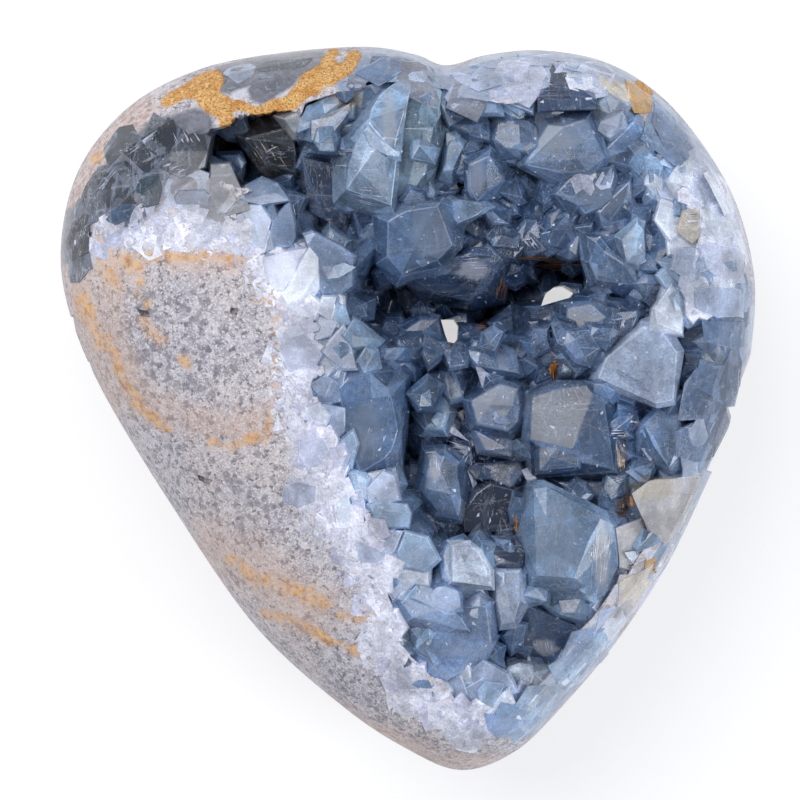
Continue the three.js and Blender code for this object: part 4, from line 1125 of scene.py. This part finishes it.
# A row is: tone, mm below the face, degrees that the head leans to the right and up, and outline.
ledge_crystals = [
    ("steel", 0.3, (0, 14), (240, 202), (247, 187), (263, 181), (277, 185), (290, 202), (262, 206)),
    ("veil", 0.1, (-6, 0), (235, 225), (240, 203), (262, 206), (272, 222), (266, 250), (250, 250)),
    ("steel", 0.4, (16, 0), (274, 222), (290, 203), (295, 224), (297, 238), (292, 248), (274, 252),
     (266, 254)),
    ("pearl", -0.2, (4, 2), (263, 258), (289, 252), (309, 249), (300, 270), (284, 292), (276, 290),
     (268, 278)),
    ("white", -0.1, (6, -6), (310, 249), (319, 259), (314, 272), (320, 290), (309, 306), (291, 318),
     (283, 296)),
    ("steel", 0.5, (7, -3), (305, 237), (314, 234), (341, 248), (354, 258), (352, 285), (342, 292),
     (322, 295), (317, 270)),
    ("white", 0.2, (10, -8), (324, 298), (336, 298), (335, 310), (332, 323), (326, 315), (317, 313)),
    ("veil", 0.5, (-4, 8), (303, 328), (319, 317), (331, 318), (338, 323), (332, 337), (317, 341)),
    ("pearl", 0.7, (9, -8), (322, 352), (332, 338), (344, 324), (349, 334), (356, 368), (341, 369)),
    ("pearl", -0.1, (-3, 2), (280, 327), (300, 322), (304, 342), (322, 354), (316, 366), (290, 372),
     (280, 350)),
    ("steel", 1.2, (10, 4), (306, 377), (321, 363), (346, 373), (341, 402), (324, 405), (310, 402)),
    ("white", -0.1, (-4, -6), (300, 410), (320, 404), (329, 415), (326, 425), (308, 420)),
    ("veil", 0.9, (6, -4), (324, 404), (345, 409), (346, 431), (334, 444), (324, 434)),
    ("pearl", -0.2, (-2, 4), (300, 440), (324, 436), (330, 450), (318, 466), (300, 466)),
    ("pearl", -0.2, (2, 2), (284, 486), (300, 480), (316, 486), (316, 500), (300, 506), (284, 500)),
    ("bright", 0.2, (-6, -4), (349, 490), (363, 488), (366, 510), (353, 514), (346, 504)),
    ("bright", 0.6, (8, 6), (366, 489), (382, 472), (395, 475), (400, 499), (385, 504), (370, 502)),
    ("aqua", 0.4, (10, -4), (368, 504), (380, 500), (405, 504), (410, 512), (408, 527), (378, 526)),
    ("white", -0.1, (-4, 0), (336, 500), (348, 492), (352, 512), (350, 526), (338, 524)),
    ("bright", 0.2, (4, 8), (353, 536), (370, 528), (404, 530), (396, 550), (380, 562), (362, 560)),
    ("aqua", 0.7, (12, 4), (405, 530), (427, 537), (438, 558), (424, 570), (400, 566), (398, 550)),
    ("beige", -0.4, (8, -6), (634, 494), (650, 483), (690, 477), (702, 476), (698, 498), (682, 526),
     (667, 550), (650, 531)),
    ("beige", 1.2, (8, 4), (615, 528), (640, 520), (655, 532), (656, 558), (637, 573), (619, 566)),
    ("cream", -0.3, (6, -6), (620, 582), (654, 564), (662, 560), (650, 588), (634, 606), (618, 600)),
    ("amber", -0.3, (0, 0), (645, 560), (655, 558), (658, 568), (650, 575), (644, 570)),
    ("veil", 0.2, (6, -8), (600, 610), (618, 606), (628, 612), (606, 646), (592, 640)),
    ("white", 0.1, (-6, -8), (486, 712), (500, 694), (508, 688), (514, 702), (520, 718), (502, 716)),
    ("aqua", 0.3, (-6, 6), (477, 690), (486, 680), (504, 682), (500, 694), (486, 711), (480, 704)),
    ("lavender", -0.2, (0, -6), (486, 713), (520, 718), (530, 722), (512, 732), (496, 737), (488, 728)),
]
pale = gathered("pale_crystals", [
    *single(ledge_crystals, 71, 0.1),
    *field(pale_strokes, row=3.2 * mm, seed=21, sizes=(2.0 * mm, 4.2 * mm),
           sunk=(0.8 * mm, 1.8 * mm), lean=9, roof=0.06),
])
dressed(pale, celestite("pale_celestite", see_through=0.4, inside=(0.5, 0.7, 0.88, 1), density=15,
                        cloudy=0.5, dusty=0.06, rough=(0.12, 0.3), gain=1.15, patches=frost_and_highlight,
                        tint=(0.94, 1, 1.05), mottled=0.6))

# The smoky crystals were cut flush with the face at the upper left, and line the dark pocket. They
# are grey-brown, glassy and clear enough to look dark.
smoky_strokes = [
    (18, "ash ash smoke", (98, 206), (118, 176), (150, 146)),
    (22, "smoke ash night", (120, 210), (152, 186), (186, 158)),
    (16, "ash bright sky", (180, 200), (225, 200)),
    (12, "night smoke ash", (70, 258), (76, 236), (86, 218)),
    (16, "ash smoke bright", (225, 82), (262, 70), (300, 60)),
    (12, "smoke ash bright", (258, 98), (284, 82)),
]
smoky_facets = [
    ("night", -0.5, (0, 0), (124, 156), (141, 141), (172, 123), (181, 134), (175, 147), (164, 162),
     (158, 172), (143, 174), (130, 176)),
    ("ash", -0.5, (0, 0), (97, 197), (108, 175), (124, 156), (131, 175), (143, 174), (136, 189), (129, 197),
     (115, 212), (102, 211)),
    ("smoke", -0.3, (5, -5), (162, 168), (182, 141), (200, 133), (212, 139), (207, 169), (194, 173),
     (182, 179)),
    ("teal", -0.3, (0, 0), (143, 173), (160, 171), (163, 190), (160, 205), (148, 208), (137, 190)),
    ("slate", -0.3, (0, 0), (108, 220), (118, 208), (130, 205), (136, 207), (130, 220), (117, 226)),
    ("violet", 0.0, (0, -6), (175, 198), (180, 192), (205, 191), (212, 197), (210, 212), (195, 216),
     (178, 212)),
    ("night", -0.4, (0, 0), (65, 240), (72, 224), (84, 214), (90, 218), (89, 252), (78, 262), (68, 262)),
    ("ash", -0.4, (0, 0), (66, 264), (78, 262), (90, 254), (92, 268), (80, 282), (68, 282)),
    ("beige", 0.1, (-6, 4), (202, 201), (213, 193), (233, 189), (238, 202), (227, 215), (214, 210)),
]
smoky = gathered("smoky_crystals", [
    *single(smoky_facets, 91, 0.15),
    *field(smoky_strokes, row=4.6 * mm, seed=31, sizes=(2.0 * mm, 4.6 * mm),
           sunk=(-0.4 * mm, 0.1 * mm), lean=3, bevel=0.05, spread=0.12, roof=0.03),
])
dressed(smoky, celestite("smoky_celestite", see_through=0.4, inside=(0.45, 0.47, 0.52, 1), density=60,
                         cloudy=1.0, dusty=0.06, rough=(0.06, 0.2), gain=0.8))

# The blue crystals were cut flush along the top and the right edge: the polishing wheel went
# through them, and left a smooth mosaic with thin pale joints.
flush_strokes = [
    (22, "slate deep ash", (352, 84), (384, 66), (420, 66), (452, 84)),
    (18, "veil pearl veil", (470, 88), (510, 74), (555, 66), (600, 70)),
    (16, "sky mid veil", (630, 86), (664, 108), (694, 142)),
    (24, "bright white sky white", (712, 170), (730, 215), (734, 262), (728, 300)),
    (26, "deep deep slate", (736, 320), (730, 365), (712, 415), (700, 440)),
    (16, "aqua sky lavender", (600, 645), (570, 690), (530, 724)),
]
flush_facets = [
    ("midnight", -0.3, (0, 0), (549, 71), (553, 63), (559, 61), (565, 64), (567, 71), (564, 81), (552, 81)),
    ("midnight", -0.3, (0, 0), (551, 78), (565, 78), (568, 92), (570, 100), (546, 100)),
    ("ink", -0.2, (0, 0), (538, 100), (541, 91), (551, 88), (570, 90), (592, 94), (597, 110), (540, 112)),
    ("white", -0.2, (0, 0), (564, 77), (573, 71), (590, 76), (592, 89), (580, 93), (569, 90)),
    ("cream", -0.2, (0, 0), (598, 72), (620, 70), (634, 78), (630, 104), (617, 100), (601, 86)),
    ("amber", -0.3, (0, 0), (626, 78), (640, 82), (652, 98), (650, 112), (634, 113), (628, 96)),
    ("pearl", -0.2, (0, 0), (500, 70), (540, 64), (545, 76), (538, 94), (528, 108), (514, 101), (503, 88)),
    ("veil", -0.2, (0, 0), (450, 72), (474, 66), (500, 70), (500, 86), (478, 92), (460, 84)),
    ("veil", -0.2, (0, 0), (470, 62), (510, 51), (552, 49), (548, 62), (500, 68)),
    ("veil", -0.2, (0, 0), (566, 50), (600, 57), (622, 68), (598, 70), (572, 64)),
    ("mid", -0.2, (4, 4), (655, 102), (669, 109), (686, 128), (688, 138), (678, 146), (664, 146),
     (652, 122)),
    ("pearl", -0.2, (0, 0), (690, 168), (710, 162), (724, 194), (708, 206), (692, 196)),
    ("white", -0.2, (0, 0), (702, 210), (728, 200), (737, 234), (716, 244), (701, 232)),
    ("cream", 0.0, (0, 0), (682, 214), (698, 208), (700, 234), (690, 244), (676, 232)),
    ("pearl", -0.2, (0, 0), (702, 247), (722, 244), (742, 250), (746, 282), (726, 284), (706, 270)),
    ("bright", 0.1, (0, 0), (674, 250), (700, 247), (705, 272), (690, 284), (670, 270)),
    ("veil", -0.2, (0, 0), (694, 288), (722, 287), (746, 292), (746, 316), (716, 318), (694, 308)),
    ("slate", -0.2, (0, 0), (702, 322), (746, 322), (746, 346), (730, 348), (704, 342)),
    ("slate", -0.2, (0, 0), (356, 74), (384, 56), (414, 54), (408, 70), (380, 86)),
    ("ash", -0.2, (0, 0), (416, 55), (440, 62), (448, 76), (434, 80), (412, 72)),
]
flush = gathered("flush_crystals", [
    *single(flush_facets, 121, 0.1),
    *field(flush_strokes, row=4.0 * mm, seed=41, sizes=(2.2 * mm, 5.2 * mm),
           sunk=(-0.6 * mm, 0.1 * mm), lean=5, bevel=0.05, spread=0.12, roof=0.05),
])
dressed(flush, celestite("flush_celestite", see_through=0.4, inside=(0.35, 0.6, 0.8, 1), density=25,
                         cloudy=0.8, dusty=0.06, rough=(0.08, 0.3), gain=1.12, tint=(0.94, 1, 1.04),
                         mottled=0.8))

# The sugar is fine white crystal in a band between the marl and the large crystals. It is hundreds
# of short chips of clear crystal, white for their many faces, that stand a hair out of the face.
sugar_strokes = [
    (13, "white bright", (96, 246), (118, 232), (140, 224)),
    (19, "white white bright", (140, 228), (170, 230), (215, 232), (250, 240)),
    (22, "white white pearl", (262, 256), (282, 282), (296, 318), (296, 362), (294, 412)),
    (26, "white white pearl", (302, 440), (316, 484), (340, 524), (364, 560)),
    (18, "white white pearl", (372, 585), (380, 625), (392, 664), (424, 700), (470, 726)),
    (20, "white white bright", (700, 186), (716, 225), (720, 262), (708, 300)),
    (10, "beige white", (628, 590), (652, 560)),
]
sugar = gathered("sugary_crystals", [
    *field(sugar_strokes, row=2.2 * mm, seed=51, sizes=(1.2 * mm, 3.0 * mm),
           sunk=(-0.35 * mm, 0.1 * mm), lean=5, bevel=0.12, edge_wear_and_highlight=0, spread=0.06, edge_highlight=0,
           roof=0.05),
    *field(sugar_strokes, row=1.4 * mm, seed=52, sizes=(0.3 * mm, 1.0 * mm),
           sunk=(-0.45 * mm, -0.05 * mm), lean=12, bevel=0.2, edge_wear_and_highlight=0, spread=0.08, edge_highlight=0,
           roof=0.08),
])
dressed(sugar, celestite("sugar_celestite", see_through=0.3, inside=(0.7, 0.8, 0.92, 1), density=15,
                         cloudy=0.6, dusty=0.0, rough=(0.3, 0.55), gain=1.1,
                         tint=(0.98, 0.98, 1.02)))

# Flakes lie on the crystals and between them: bright chips where a corner broke, painted highlights
# where a growth face turns to the light, and fans of thin splinters along the cracks. They are
# outlined in pixels: a chip by its corners, and a fan by the two ends of the line it starts on and of
# the one it runs to.
chips_and_highlights = [
    ("bright", (569, 180), (579, 172), (591, 167), (596, 175), (592, 182), (594, 190), (590, 197),
     (582, 190), (575, 195)),
    ("bright", (594, 185), (601, 173), (613, 172), (613, 178), (610, 188), (600, 191)),
    ("white", (622, 246), (636, 223), (643, 230), (640, 248), (645, 262), (637, 266), (626, 262)),
    ("bright", (637, 212), (645, 222), (643, 229), (638, 221)),
    ("bright", (448, 191), (456, 183), (460, 193)),
    ("white", (312, 142), (312, 122), (332, 118), (350, 105), (346, 118), (335, 132)),
    ("bright", (473, 360), (490, 376), (482, 388)),
    ("bright", (440, 422), (455, 428), (470, 442), (452, 434)),
    ("bright", (467, 470), (472, 474), (477, 483), (473, 488)),
    ("bright", (521, 470), (530, 466), (537, 480), (526, 480)),
    ("bright", (640, 448), (654, 447), (650, 462)),
    ("bright", (528, 322), (538, 321), (534, 327)),
    ("bright", (454, 546), (470, 546), (488, 566), (490, 580), (456, 570)),
    ("white", (558, 600), (580, 598), (574, 612), (562, 612)),
]
splinters = [
    ("white", 20, (590, 522), (613, 524), (588, 592), (604, 588)),
    ("bright", 12, (332, 152), (336, 172), (378, 148), (382, 176)),
    ("bright", 7, (352, 188), (345, 200), (392, 190), (396, 214)),
    ("white", 5, (407, 85), (414, 88), (390, 180), (382, 178)),
    ("steel", 9, (606, 362), (612, 378), (646, 386), (656, 400)),
    ("bright", 9, (429, 452), (441, 452), (432, 482), (441, 482)),
    ("bright", 2, (360, 321), (360, 324), (390, 324), (390, 327)),
    ("white", 8, (531, 637), (552, 640), (534, 652), (556, 655)),
    ("cream", 8, (240, 134), (262, 128), (270, 182), (292, 174)),
    ("bright", 7, (170, 132), (190, 126), (182, 160), (206, 150)),
    ("bright", 9, (160, 168), (178, 176), (178, 160), (192, 174)),
    ("bright", 12, (84, 205), (90, 207), (126, 154), (128, 158)),
    ("bright", 10, (124, 155), (126, 159), (172, 121), (174, 125)),
    ("bright", 7, (452, 474), (470, 480), (470, 442), (480, 448)),
    ("bright", 6, (400, 560), (412, 574), (424, 538), (434, 548)),
    ("white", 12, (366, 500), (360, 522), (402, 504), (400, 536)),
    ("bright", 5, (444, 432), (440, 446), (476, 446), (470, 452)),
    ("bright", 6, (518, 236), (528, 232), (534, 256), (542, 250)),
    ("bright", 8, (452, 258), (456, 276), (492, 254), (492, 276)),
    ("white", 8, (672, 210), (670, 236), (704, 206), (706, 236)),
    ("white", 8, (676, 270), (680, 296), (712, 262), (716, 290)),
    ("bright", 6, (598, 430), (600, 438), (624, 428), (626, 438)),
]
veins = [
    ("ochre", 9, (548, 352), (556, 350), (551, 386), (555, 386)),
    ("ochre", 5, (550, 358), (552, 366), (558, 357), (559, 365)),
    ("ochre", 4, (513, 514), (516, 514), (514, 532), (517, 532)),
    ("ochre", 6, (648, 562), (650, 574), (656, 562), (657, 572)),
    ("ochre", 7, (624, 488), (630, 490), (628, 514), (634, 512)),
    ("rust", 8, (474, 320), (474, 328), (490, 320), (490, 328)),
    ("rust", 12, (500, 256), (502, 268), (594, 258), (594, 272)),
    ("rust", 7, (500, 268), (508, 270), (496, 300), (504, 304)),
    ("cream", 8, (613, 440), (621, 440), (618, 474), (626, 474)),
    ("rust", 7, (612, 500), (616, 520), (628, 500), (630, 518)),
]
stones = bpy.context.evaluated_depsgraph_get()
grounds = [BVHTree.FromObject(piece, stones) for piece in (rind, crust, pale, smoky, flush, sugar)]


def top_of(place):
    """The height of the highest surface over a place."""
    above = Vector((*place, above_all))
    hits = [ground.ray_cast(above, Vector((0, 0, -1)))[0] for ground in grounds]
    return max((hit.z for hit in hits if hit), default=0)


def over_opening(places):
    """Whether the middle of a flake would have nothing under it."""
    return top_of(middle_of(places)) == 0


def flake(places, lift, thick):
    """A thin flake that lies on the surface under it, a hair proud."""
    shape = bmesh.new()
    middle = middle_of(places)
    level = top_of(middle)
    for place in places:
        reach = 0.5 * (place - middle).length
        height = max(level - reach, min(level + reach, top_of(place)))
        shape.verts.new((*place, height + lift))
    upper = bmesh.ops.contextual_create(shape, geom=shape.verts[:])["faces"]
    lowered = bmesh.ops.extrude_face_region(shape, geom=upper)
    bmesh.ops.translate(shape, vec=(0, 0, -thick), verts=corners_in(lowered["geom"]))
    bmesh.ops.recalc_face_normals(shape, faces=shape.faces)
    return shape


def splinter_shapes(groups, seed, least, most):
    """Thin splinters that run from one line of pixels to another."""
    chance = Random(seed)
    shapes = []
    for tone, count, *ends in groups:
        here, there, here_to, there_to = spots(ends)
        for number in range(count):
            share = (number + chance.uniform(0, 1)) / count
            start = here.lerp(there, share)
            end = here_to.lerp(there_to, share)
            start, end = start.lerp(end, chance.uniform(0, 0.5)), start.lerp(end, chance.uniform(0.5, 1))
            bulge = (end - start).orthogonal().normalized() * chance.uniform(least, most)
            belly = start.lerp(end, chance.uniform(0.3, 0.7))
            outline = [start, belly + bulge, end, belly - bulge]
            if over_opening(outline):
                continue
            shape = flake(outline, 0.05 * mm, 0.3 * mm)
            toned(shape, tones[tone], chance, 0.15, 0)
            shapes.append(shape)
    return shapes


chance = Random(61)
flake_shapes = []
for tone, *corners in chips_and_highlights:
    shape = flake(spots(corners), 0.1 * mm, 0.5 * mm)
    toned(shape, tones[tone], chance, 0.08, 0)
    flake_shapes.append(shape)
flake_shapes += splinter_shapes(splinters, 62, 0.03 * mm, 0.1 * mm)

# Glints are painted: the smallest bright flakes, strewn over the hollow, stand in for small sparkles of
# light on the crystals.
glint_strokes = [
    (150, "white bright sky", (530, 180), (530, 300), (500, 560)),
]
for place, choices, room in scattered(glint_strokes, 3.1 * mm, 63):
    if dip_at(*place) < 1 * mm:
        continue
    turn = chance.uniform(0, 2 * math.pi)
    long = chance.uniform(0.1, 0.55) * mm * Vector((math.cos(turn), math.sin(turn)))
    wide = long.orthogonal() * chance.uniform(0.3, 0.9)
    outline = [place - long, place + wide, place + long * 0.7, place - wide * 0.3]
    if over_opening(outline):
        continue
    shape = flake(outline, 0.02 * mm, 0.3 * mm)
    toned(shape, tones[chance.choice(choices)], chance, 0.1, 0)
    flake_shapes.append(shape)
flakes = gathered("bright_flakes", flake_shapes)
dressed(flakes, celestite("flake_celestite", see_through=0.25, inside=(0.6, 0.75, 0.9, 1), density=20,
                          cloudy=0.2, dusty=0.0, rough=(0.1, 0.3), gain=0.9, tint=(0.97, 0.99, 1.03)))

# Veins of limonite fill the cracks between the crystals: dull, rust-brown and crumbly.
limonite_veins = gathered("limonite_veins", splinter_shapes(veins, 64, 0.07 * mm, 0.22 * mm))


def crumbly_limonite():
    material, tree, shader = new_material("crumbly_limonite", Roughness=0.8)
    place = add(tree, "ShaderNodeTexCoord").outputs["Object"]
    tone = stored(tree, "tone").outputs["Color"]
    crumbs = grain(tree, place, 0.4 * mm, 4, 0.7)
    color = mixed(tree, between(tree, crumbs, 0.4, 0.65), tone, ink(92, 66, 48))
    tree.links.new(color, shader.inputs["Base Color"])
    bump = add(tree, "ShaderNodeBump", Strength=0.6, Distance=0.2 * mm, Height=crumbs)
    tree.links.new(bump.outputs[0], shader.inputs["Normal"])
    return material


dressed(limonite_veins, crumbly_limonite())
